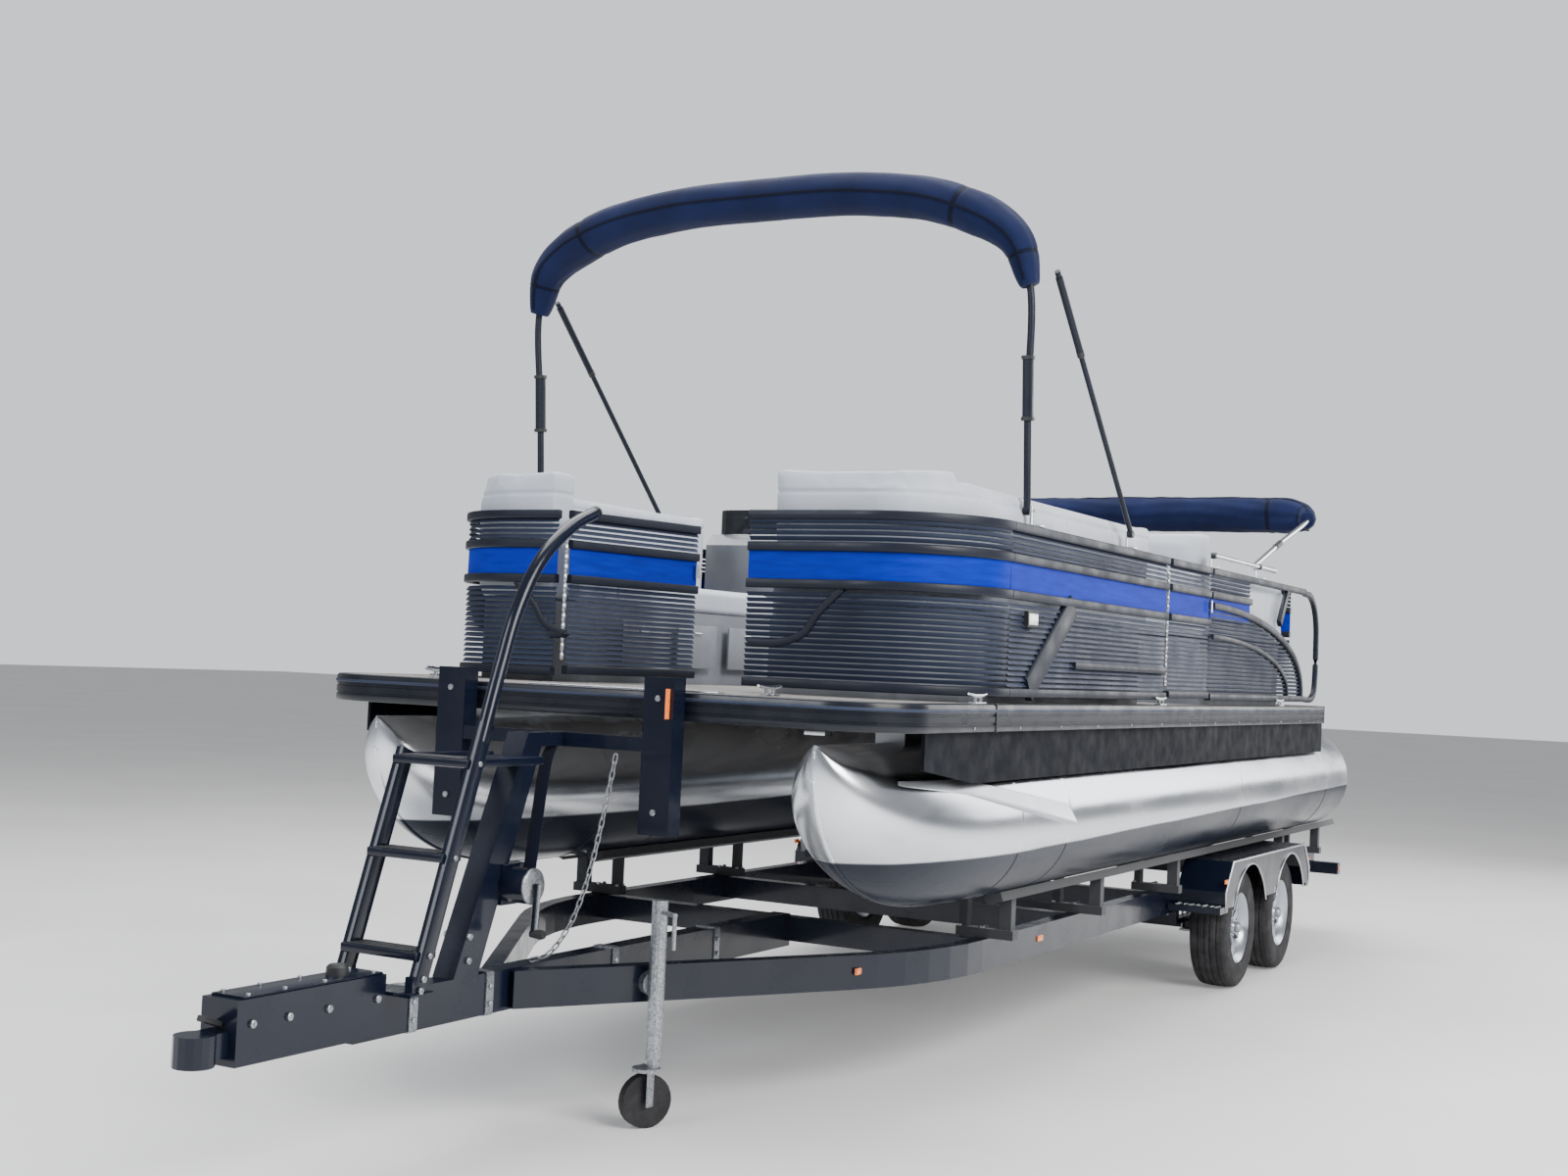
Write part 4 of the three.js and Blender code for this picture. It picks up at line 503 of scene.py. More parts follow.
def mix_finishes(look):
    """Makes every finish from the chosen colours."""
    trailer, fence = tuple(look.trailer_color), tuple(look.fence_color)
    seat, cloth = tuple(look.seat_color), tuple(look.canvas_color)
    F.update(
        trailer=painted("trailer_gloss", trailer, 0.22, 0.0, 0.25, Specular_IOR_Level=0.25),
        fence=painted("fence_satin", fence, 0.4, 0.0, 0.0, 90.0, Specular_IOR_Level=0.25),
        fascia=painted("deck_fascia", tone(fence, 0.6), 0.3, 0.0, 0.1, 70.0, Specular_IOR_Level=0.35),
        skirt=plastic("under_skirt", tone(fence, 0.4), 0.6, 200.0, Specular_IOR_Level=0.12),
        slat=painted("louvre_slat", tone(fence, 3.2), 0.45, 0.3, 0.0, 110.0, Specular_IOR_Level=0.3),
        band=tinted("blue_band", tuple(look.band_color), 0.55, 0.0, Specular_IOR_Level=0.06),
        pontoon=pontoon_skin(),
        plate=metal("mill_plate", (0.72, 0.75, 0.79), 0.34, (60, 3, 60)),
        tube=metal("polished_tube", (0.78, 0.8, 0.83), 0.18, (3, 80, 80)),
        steel=metal("stainless", (0.68, 0.7, 0.73), 0.22, (70, 4, 70)),
        rim=metal("rim_silver", (0.5, 0.54, 0.6), 0.3, (20, 20, 20), Coat_Weight=0.3),
        zinc=galvanised(),
        seat=vinyl("seat_vinyl", seat),
        piping=vinyl("piping_vinyl", tone(seat, 0.45), 0.45),
        base=plastic("seat_base", tone(seat, 0.42), 0.5, 240.0),
        console=plastic("console_shell", tone(seat, 0.3), 0.32, 200.0, Coat_Weight=0.3),
        dark=plastic("dark_plastic", (0.018, 0.019, 0.022), 0.42),
        screen=tinted("smoked_screen", (0.05, 0.055, 0.065), 0.04, 0.75),
        canvas=canvas("navy_canvas", cloth),
        webbing=canvas("webbing", tone(cloth, 0.35)),
        deck=deck_covering(),
        carpet=carpet("bunk_carpet", (0.035, 0.037, 0.042)),
        tyre=rubber("tyre_rubber"),
        pad=rubber("stop_rubber", (0.014, 0.014, 0.016), 0.6),
        cowl=painted("cowl_gloss", (0.008, 0.009, 0.012), 0.14, 0.0, 0.8, 40.0),
        grey=painted("gearcase_grey", (0.05, 0.055, 0.065), 0.3, 0.4, 0.4),
        amber=lens_with_painted_glow("amber_reflector", (0.9, 0.18, 0.03)),
        red=lens_with_painted_glow("red_lens", (0.5, 0.01, 0.01)),
        lamp=lens_with_painted_glow("clear_lens", (0.75, 0.78, 0.8)),
        gauge=plastic("gauge_face", (0.6, 0.62, 0.64), 0.25, 500.0),
    )


def coat(finish_name, *names):
    """Gives carried-over nodes their finish."""
    for name in names:
        for slot in NODES[name].material_slots:
            slot.material = F[finish_name]


# ---------------------------------------------------------------- settings
class PontoonLook(bpy.types.PropertyGroup):
    """Colours that an owner would choose."""
    trailer_color: FloatVectorProperty(
        name="Trailer", description="Gloss paint of the trailer", subtype="COLOR",
        size=3, min=0, max=1, default=(0.004, 0.0065, 0.016))
    fence_color: FloatVectorProperty(
        name="Fence", description="Satin paint of the rails and panels", subtype="COLOR",
        size=3, min=0, max=1, default=(0.0095, 0.0125, 0.022))
    band_color: FloatVectorProperty(
        name="Band", description="Tinted band between the upper rails", subtype="COLOR",
        size=3, min=0, max=1, default=(0.004, 0.022, 0.36))
    seat_color: FloatVectorProperty(
        name="Seats", description="Upholstery vinyl", subtype="COLOR",
        size=3, min=0, max=1, default=(0.52, 0.56, 0.63))
    canvas_color: FloatVectorProperty(
        name="Canvas", description="Bimini boots", subtype="COLOR",
        size=3, min=0, max=1, default=(0.0055, 0.0105, 0.045))


class PontoonTrim(bpy.types.PropertyGroup):
    """Sizes of the trim that is not in the frame."""
    slat_pitch: FloatProperty(
        name="Slat pitch", description="Height from one louvre slat to the next",
        default=0.022, min=0.015, max=0.05, unit="LENGTH")
    slat_tilt: FloatProperty(
        name="Slat tilt", description="Lean of each slat from upright",
        default=math.radians(32), subtype="ANGLE")
    link_wire: FloatProperty(
        name="Chain wire", description="Thickness of the safety chain's wire",
        default=0.006, min=0.003, max=0.01, unit="LENGTH")
    tread_blocks: IntProperty(
        name="Tread blocks", description="Tread blocks round each tyre", default=72, min=30, max=120)
    pad_rise: FloatProperty(
        name="Cushion rise", description="How far a cushion's cover may swell",
        default=0.018, min=0.004, max=0.03, unit="LENGTH")
    simulate: BoolProperty(
        name="Simulate cushions", description="Swell the cushions by cloth simulation", default=True)


class Maker:
    """Shared by every maker: carries out its work and reports that it finished."""
    bl_options = {"REGISTER", "UNDO"}

    def execute(self, context):
        self.make(context.scene.pontoon_trim)
        return {"FINISHED"}


# ---------------------------------------------------------------- stage
class PONTOON_OT_stage(Maker, bpy.types.Operator):
    """Sets the camera, the floor and the soft studio light"""
    bl_idname = "pontoon.stage"
    bl_label = "Stage"

    def make(self, trim):
        yaw, pitch, roll = math.radians(208.693), math.radians(2.269), math.radians(2.569)
        ahead = np.array([math.cos(pitch) * math.cos(yaw), math.cos(pitch) * math.sin(yaw), math.sin(pitch)])
        right = unit(np.cross(ahead, (0, 0, 1)))
        up = np.cross(right, ahead)
        tilted = math.cos(roll) * right + math.sin(roll) * up
        raised = -math.sin(roll) * right + math.cos(roll) * up
        camera = bpy.data.objects.new("camera", bpy.data.cameras.new("camera"))
        camera.data.lens = 43.67
        camera.data.sensor_width = 36.0
        camera.data.clip_end = 200
        frame_of = np.eye(4)
        frame_of[:3, :3] = np.stack([tilted, raised, -ahead], 1)
        frame_of[:3, 3] = at(12.0006, 4.0082, 1.6623)
        camera.matrix_world = Matrix(frame_of.tolist())
        bpy.context.scene.collection.objects.link(camera)
        bpy.context.scene.camera = camera
        mesh = bpy.data.meshes.new("floor")
        mesh.from_pydata([(-70, -70, 0), (70, -70, 0), (70, 70, 0), (-70, 70, 0)], [], [(0, 1, 2, 3)])
        ground = finish("pale_floor", (0.74, 0.74, 0.74), 0.62, Emission_Strength=0.16)
        ground.node_tree.nodes["Principled BSDF"].inputs["Emission Color"].default_value = (1, 1, 1, 1)
        shade(ground, noise(ground, place(ground), 0.6, 5), grey(0.7), grey(0.78))
        mesh.materials.append(ground)
        floor = bpy.data.objects.new("floor", mesh)
        bpy.context.scene.collection.objects.link(floor)
        world = bpy.context.scene.world or bpy.data.worlds.new("studio")
        bpy.context.scene.world = world
        world.use_nodes = True
        tree = world.node_tree
        sky = tree.nodes["Background"]
        sky.inputs["Color"].default_value = (0.86, 0.88, 0.92, 1)
        rays = tree.nodes.new("ShaderNodeLightPath")
        seen = tree.nodes.new("ShaderNodeMapRange")
        seen.inputs["To Min"].default_value = 0.34
        seen.inputs["To Max"].default_value = 1.15
        tree.links.new(rays.outputs["Is Camera Ray"], seen.inputs["Value"])
        tree.links.new(seen.outputs["Result"], sky.inputs["Strength"])
        lights = (
            ("key", (4.0, 9.0, 6.5), (0, 0.5, 1.4), 6.0, 1500, (1.0, 0.98, 0.95)),
            ("front", (11.0, -3.0, 6.0), (2, 0, 1.2), 5.0, 620, (0.9, 0.94, 1.0)),
            ("top", (-1.0, -1.0, 9.0), (0, 0, 1.5), 9.0, 1500, (1, 1, 1)),
            ("rear", (-9.0, 5.0, 4.0), (-1, 0, 1.2), 5.0, 320, (1, 1, 1)),
        )
        for name, where, target, size, power, color in lights:
            data = bpy.data.lights.new(name, "AREA")
            data.size, data.energy, data.color = size, power, color
            lamp = bpy.data.objects.new(name, data)
            back = unit(np.array(where, float) - target)
            side = unit(np.cross((0, 0, 1), back) if abs(back[2]) < 0.99 else np.array([1.0, 0, 0]))
            aim = np.eye(4)
            aim[:3, :3] = np.stack([side, np.cross(back, side), back], 1)
            aim[:3, 3] = where
            lamp.matrix_world = Matrix(aim.tolist())
            bpy.context.scene.collection.objects.link(lamp)


# ---------------------------------------------------------------- chain
CHAIN_ROUTE = [
    (6.340, 0.262, 1.318), (6.342, 0.250, 1.240), (6.350, 0.232, 1.120), (6.362, 0.205, 0.960),
    (6.380, 0.170, 0.800), (6.404, 0.128, 0.680), (6.440, 0.080, 0.600), (6.480, 0.030, 0.576),
]


class PONTOON_OT_chain(Maker, bpy.types.Operator):
    """Hangs the safety chain from the bow-stop bar to the tongue"""
    bl_idname = "pontoon.chain"
    bl_label = "Safety chain"

    def make(self, trim):
        path = spline(line(*CHAIN_ROUTE), 200)
        run = np.concatenate([[0], np.cumsum(np.linalg.norm(np.diff(path, axis=0), axis=1))])
        wire, width, long = trim.link_wire, 0.022, 0.042
        count = int(round(run[-1] / (long - 2 * wire)))
        half, bend = (long - width) / 2, (width - wire) / 2
        a = np.radians(np.linspace(-90, 90, 7))
        end = np.stack([half + bend * np.cos(a), bend * np.sin(a)], -1)
        loop = np.vstack([end, -end])
        parts = []
        for i, s in enumerate(np.linspace(0.02, run[-1] - 0.02, count)):
            centre = np.array([np.interp(s, run, path[:, k]) for k in range(3)])
            ahead = np.array([np.interp(s + 0.01, run, path[:, k]) for k in range(3)]) - centre
            ahead = unit(ahead)
            one = unit(np.cross(ahead, (0, 1, 0)))
            flat, off = (one, np.cross(ahead, one)) if i % 2 else (np.cross(ahead, one), one)
            ring = centre + loop[:, :1] * ahead + loop[:, 1:] * flat
            out = unit(np.roll(ring, -1, 0) - np.roll(ring, 1, 0))
            side = np.cross(out, off)
            turn = circle(wire / 2, 8)
            grid = ring[:, None] + turn[None, :, :1] * side[:, None] + turn[None, :, 1:] * off
            parts.append((grid, 0, "loop"))
        chain = build("safety_chain_links", parts, [F["zinc"]], replaces=["safety_chain"],
                      crease=80)


# ---------------------------------------------------------------- pontoons
TUBE_R, TUBE_Y, TUBE_LOW = 0.3175, 0.972, 0.752
TUBE_HIGH = TUBE_LOW + 2 * TUBE_R
NOSE_START, NOSE_TIP = 4.88, 6.185
SEAM_PLACES = (-0.176, 1.795, 4.467, 5.0)
TRANSOM_X = -0.771  # the aft end of the tubes


def tube_shape(x):
    """Half width, middle height, half height and corner power of the tube at x."""
    t = np.clip((x - NOSE_START) / (NOSE_TIP - NOSE_START), 0, 1)
    half = TUBE_R * np.maximum(np.sqrt(1 - t ** 2.4), 0.03)
    low = TUBE_LOW + (TUBE_HIGH - 0.07 - TUBE_LOW) * (1 - np.sqrt(1 - t ** 3.2))
    return half, (low + TUBE_HIGH) / 2, (TUBE_HIGH - low) / 2, 1 + 0.35 * t


def tube_skin(x, angle, proud=0.0):
    """Point of the tube: cosine, raised to a power towards the stem, by the half width, and
    sine by the half height."""
    half, middle, height, power = tube_shape(x)
    c = np.cos(angle)
    y = TUBE_Y + (half + proud) * np.sign(c) * np.abs(c) ** power
    z = middle + (height + proud) * np.sin(angle)
    return np.stack(np.broadcast_arrays(x - SHIFT, y, z), -1)


class PONTOON_OT_pontoons(Maker, bpy.types.Operator):
    """Makes the two pontoons with their plate seams, stems, spray fins and tow eyes"""
    bl_idname = "pontoon.pontoons"
    bl_label = "Pontoons"

    def make(self, trim):
        angle = np.linspace(0, 2 * np.pi, 96, endpoint=False)[None]
        nose = NOSE_START + (NOSE_TIP - NOSE_START) * np.sin(np.linspace(0, np.pi / 2, 44))
        x = np.concatenate([[-0.77, -0.765], np.linspace(-0.7, 4.8, 24), nose])[:, None]
        hull = tube_skin(x, angle)
        hull[0, :, 1:] = hull[1, :, 1:]
        seams = []
        for place_x in SEAM_PLACES:
            bead = place_x + 0.006 * np.cos(np.linspace(0, np.pi, 7))[:, None]
            lift = 0.0022 * np.sin(np.linspace(0, np.pi, 7))[:, None]
            seams.append(tube_skin(bead, angle, lift - 0.0002))
        low_x = np.linspace(NOSE_START, NOSE_TIP - 0.004, 40)
        _, middle, height, _ = tube_shape(low_x)
        keel = np.stack([low_x - SHIFT, np.full(40, TUBE_Y), middle - height], -1)
        stem = sweep(keel, rounded(0.012, 0.018, 0.004), (0, 1, 0))
        fin_x = np.linspace(6.02, 4.50, 30)
        fin_z = np.interp(fin_x, [4.50, 5.44, 6.02], [1.100, 1.236, 1.262])
        half, middle, height, power = tube_shape(fin_x)
        c = np.sqrt(np.clip(1 - ((fin_z - middle) / height) ** 2, 0, 1))
        fin_path = np.stack([fin_x - SHIFT, TUBE_Y + half * c ** power - 0.006, fin_z], -1)
        grow = np.interp(fin_x, [4.50, 5.4, 6.02], [1.35, 0.9, 0.15])
        wedge = np.array([[-0.012, 0.030], [0.004, 0.026], [0.030, -0.018], [0.033, -0.026], [0.030, -0.032],
                          [0.0, -0.034], [-0.012, -0.034]])
        fin = fin_path[:, None] + grow[:, None, None] * (
            wedge[None, :, :1] * [0, 1, 0] + wedge[None, :, 1:] * [0, 0, 1])
        riser = bar(at(-0.57, TUBE_Y, 1.405), at(5.58, TUBE_Y, 1.405), 0.12, 0.062, 0.004)
        feet = [bar(at(px, TUBE_Y - 0.075, 1.418), at(px, TUBE_Y + 0.075, 1.418), 0.09, 0.03, 0.004)
                for px in np.arange(-0.3, 5.6, 0.61)]
        eye_x = NOSE_TIP - 0.03
        eye_a = np.linspace(0, 2 * np.pi, 20, endpoint=False)
        ring = np.stack([eye_x - SHIFT + 0.002 + 0.026 * np.cos(eye_a), np.full(20, TUBE_Y),
                         1.352 + 0.026 * np.sin(eye_a)], -1)
        out = unit(ring - ring.mean(0))
        tube = circle(0.006, 10)
        eye = ring[:, None] + tube[None, :, :1] * out[:, None] + tube[None, :, 1:] * [0, 1, 0]
        drain = turned([(0, 0.016), (0.014, 0.016), (0.018, 0.01), (0.022, 0), (0.0, 0)],
                       at(TRANSOM_X, TUBE_Y, 0.80), (-1, 0, 0), 24)
        cap = turned([(0, 0.004), (0.2, 0.004), (0.206, 0.001), (0.206, -0.002), (0, -0.002)],
                     at(TRANSOM_X, TUBE_Y, 1.0695), (-1, 0, 0), 64)
        base = [(hull, 0), (stem, 0), (fin, 1), (riser, 1), (eye, 1, "loop"), (drain, 1, "turned"),
                (cap, 0, "turned")]
        base += [(s, 0, "skin") for s in seams] + [(f, 1) for f in feet]
        for side, sign in SIDES:
            parts = base if sign > 0 else [(mirrored(p[0]), *p[1:]) for p in base]
            build(f"{side}_pontoon_skin", parts, [F["pontoon"], F["plate"]],
                  replaces=[f"{side}_pontoon"], crease=40)
        coat("plate", "motor_pod")


# ---------------------------------------------------------------- deck
DECK_TOP, DECK_HALF, DECK_LONG, CORNER = 1.545, 1.295, 6.254, 0.31


def deck_edge(inset, z):
    """The deck's outline from one aft corner round the bow to the other."""
    x, y, r = DECK_LONG - inset, DECK_HALF - inset, CORNER - inset
    plan = np.vstack([
        np.stack([np.linspace(0.0, x - r, 12), np.full(12, -y)], -1),
        arc(x - r, -y + r, r, 270, 360, 18)[1:],
        arc(x - r, y - r, r, 0, 90, 18),
        np.stack([np.linspace(x - r, 0.0, 12), np.full(12, y)], -1)[1:]])
    return np.column_stack([plan[:, 0] - SHIFT, plan[:, 1], np.full(len(plan), z)])


class PONTOON_OT_deck(Maker, bpy.types.Operator):
    """Makes the grooved deck fascia, the cleats and the boarding strip, and finishes the deck and the skirts
    """
    bl_idname = "pontoon.deck"
    bl_label = "Deck"

    def make(self, trim):
        # outward reach and height of the extrusion: a rounded nose above two grooves
        outer = np.array([
            [-0.034, -0.104], [-0.004, -0.104], [0, -0.1], [0, -0.079], [-0.004, -0.077],
            [-0.004, -0.071], [0, -0.069], [0, -0.047], [-0.004, -0.045], [-0.004, -0.039],
            [0, -0.037], [0, -0.008], [-0.003, -0.002], [-0.009, 0.001], [-0.034, 0.001]])
        section = outer * [-1, 1]
        path = deck_edge(0.0, DECK_TOP)
        stern = np.array([at(0.0, -DECK_HALF, DECK_TOP), at(0.0, DECK_HALF, DECK_TOP)])
        caps = []
        for sign in (1, -1):
            seam = at(5.34, sign * (DECK_HALF - 0.014), DECK_TOP - 0.051)
            caps.append(bar(seam - [0.004, 0, 0], seam + [0.004, 0, 0], 0.034, 0.108, 0.002))
        edge = [(sweep(path, section), 0)]
        edge.append((sweep(stern[::-1], outer), 0))
        edge += [(c, 1) for c in caps]
        rub = deck_edge(-0.001, DECK_TOP - 0.0255)
        edge.append((sweep(rub, rounded(0.006, 0.012, 0.0028)), 2))
        build("deck_fascia", edge, [F["fascia"], F["dark"], F["slat"]],
              replaces=["deck_edge_trim"], crease=50)
        small = []
        cleats = [(5.45, 1.262), (3.25, 1.272), (6.1, 0.74), (1.0, 1.272)]
        for cx, cy in cleats:
            for sign in (1, -1):
                y = cy * sign
                horn = spline(line((cx - 0.085, y, DECK_TOP + 0.036), (cx - 0.03, y, DECK_TOP + 0.03),
                                   (cx, y, DECK_TOP + 0.03), (cx + 0.03, y, DECK_TOP + 0.03),
                                   (cx + 0.085, y, DECK_TOP + 0.036)), 24)
                small.append((sweep(horn, circle(0.008, 12),
                                    size=1 - 0.5 * np.abs(np.linspace(-1, 1, 24)) ** 3), 0))
                for dx in (-0.025, 0.025):
                    small.append((pin(at(cx + dx, y, DECK_TOP), at(cx + dx, y, DECK_TOP + 0.03), 0.007), 0))
                small.append((bar(at(cx - 0.05, y, DECK_TOP + 0.003), at(cx + 0.05, y, DECK_TOP + 0.003),
                                  0.03, 0.006), 0))
        small.append((bar(at(6.2, -0.22, DECK_TOP + 0.003), at(6.2, 0.60, DECK_TOP + 0.003), 0.05, 0.006),
                      0))
        small.append((bar(at(6.16, 0.93, 1.43), at(6.16, 1.01, 1.43), 0.05, 0.02), 0))
        for bx in np.arange(0.15, 5.9, 0.45):
            for sign in (1, -1):
                small.append((head(at(bx, sign * (DECK_HALF + 0.0005), DECK_TOP - 0.09), (0, sign, 0),
                                   0.005, 0.003, 10), 0))
        build("deck_hardware", small, [F["steel"]])
        coat("deck", "deck")
        coat("skirt", "port_skirt", "starboard_skirt")


# ---------------------------------------------------------------- fences and gates
FENCE_Y, FENCE_LOW, FENCE_HIGH = 1.245, 1.57, 2.252
BOW_X, STERN_X = 5.605, 0.62  # the cross fences at the bow and at the stern
RAILS = (1.588, 1.969, 2.112, 2.234)
RAIL = rounded(0.034, 0.036, 0.006)
FOOT_Z, LEG_Y, BRACE_Y = 2.318, 1.196, 1.242  # the pins that bimini bows and braces turn on
FRONT_BOW_X, FRONT_BRACE_X, REAR_BOW_X, REAR_BRACE_X = 4.862, 3.69, 1.41, 2.335


def rail(*points):
    """A fence rail through points of the deck's frame."""
    return (sweep(line(*points), RAIL), 0)


def post(x, y, low=FENCE_LOW, high=FENCE_HIGH):
    """An upright of the fence."""
    return (bar(at(x, y, low), at(x, y, high), 0.034, 0.034, 0.006), 0)


def slats(plan, low, high, trim, thick=0.0016):
    """Louvre slats along a plan line: each a thin leaning strip, one pitch above the last."""
    lean, depth = trim.slat_tilt, 0.019
    strip = rounded(depth, thick, thick * 0.3, 1)
    turned_strip = strip @ np.array([[math.sin(lean), math.cos(lean)], [-math.cos(lean), math.sin(lean)]])
    heights = np.arange(low + 0.6 * trim.slat_pitch, high - 0.3 * trim.slat_pitch, trim.slat_pitch)
    return [(sweep(plan + [0, 0, z], turned_strip), 1) for z in heights]


def infill(plan, trim, kick=None):
    """Slats between the lower rails, the tinted band above them and the slats over it."""
    plan = np.asarray(plan, float)
    parts = slats(plan, FENCE_LOW + 0.036, RAILS[1] - 0.018, trim)
    parts += slats(plan, RAILS[2] + 0.018, RAILS[3] - 0.018, trim)
    band = rounded(0.004, RAILS[2] - RAILS[1] - 0.034, 0.001, 1)
    parts.append((sweep(plan + [0, 0, (RAILS[1] + RAILS[2]) / 2], band), 2))
    if kick is not None:
        parts.append((sweep(kick, rounded(0.03, 0.03, 0.005)), 0))
    return parts


def plan_line(*points):
    """Plan points of the deck's frame at height nought, in metres of the shared frame."""
    return np.array([[x - SHIFT, y, 0.0] for x, y in points])


def with_height(plan, z):
    return np.asarray(plan) + [0, 0, z]


def rails_on(plan, levels=RAILS):
    """Fence rails along a plan line, one at each level."""
    return [(sweep(with_height(plan, z), RAIL), 0) for z in levels]


def bimini_feet(sign, stations):
    """Saddles and ears on the top rail; each station is (x, y, tube radius), and the ear
    stands outboard of a bow's leg and inboard of a brace."""
    parts = []
    for x, y, radius in stations:
        out = 1 if y < BRACE_Y else -1
        near = y + radius + 0.002 if out > 0 else y - radius - 0.008
        middle = sign * (near + 0.003)
        parts.append((bar(at(x, middle, 2.252), at(x, middle, 2.332), 0.006, 0.032, 0.002,
                          up=(1, 0, 0)), 3))
        parts.append((bar(at(x - 0.024, sign * FENCE_Y, 2.256), at(x + 0.024, sign * FENCE_Y, 2.256),
                          0.04, 0.009, 0.002), 3))
        tip = sign * (y + (0.012 if out > 0 else -0.004) + out * radius)
        parts.append((head(at(x, tip, FOOT_Z), (0, sign * out, 0), 0.009, 0.006), 3))
    return parts


def hinge(x, y, low, high):
    """A piano hinge: one barrel with its knuckles parted by grooves."""
    count = int((high - low) / 0.04)
    z = np.linspace(low, high, count * 4 + 1)
    radius = 0.008 * np.where(np.arange(len(z)) % 4 == 0, 0.6, 1.0)
    profile = np.column_stack([radius, z - low])
    profile[0, 0] = profile[-1, 0] = 0
    return (turned(profile, at(x, y, low), (0, 0, 1), 12), 3, "turned")


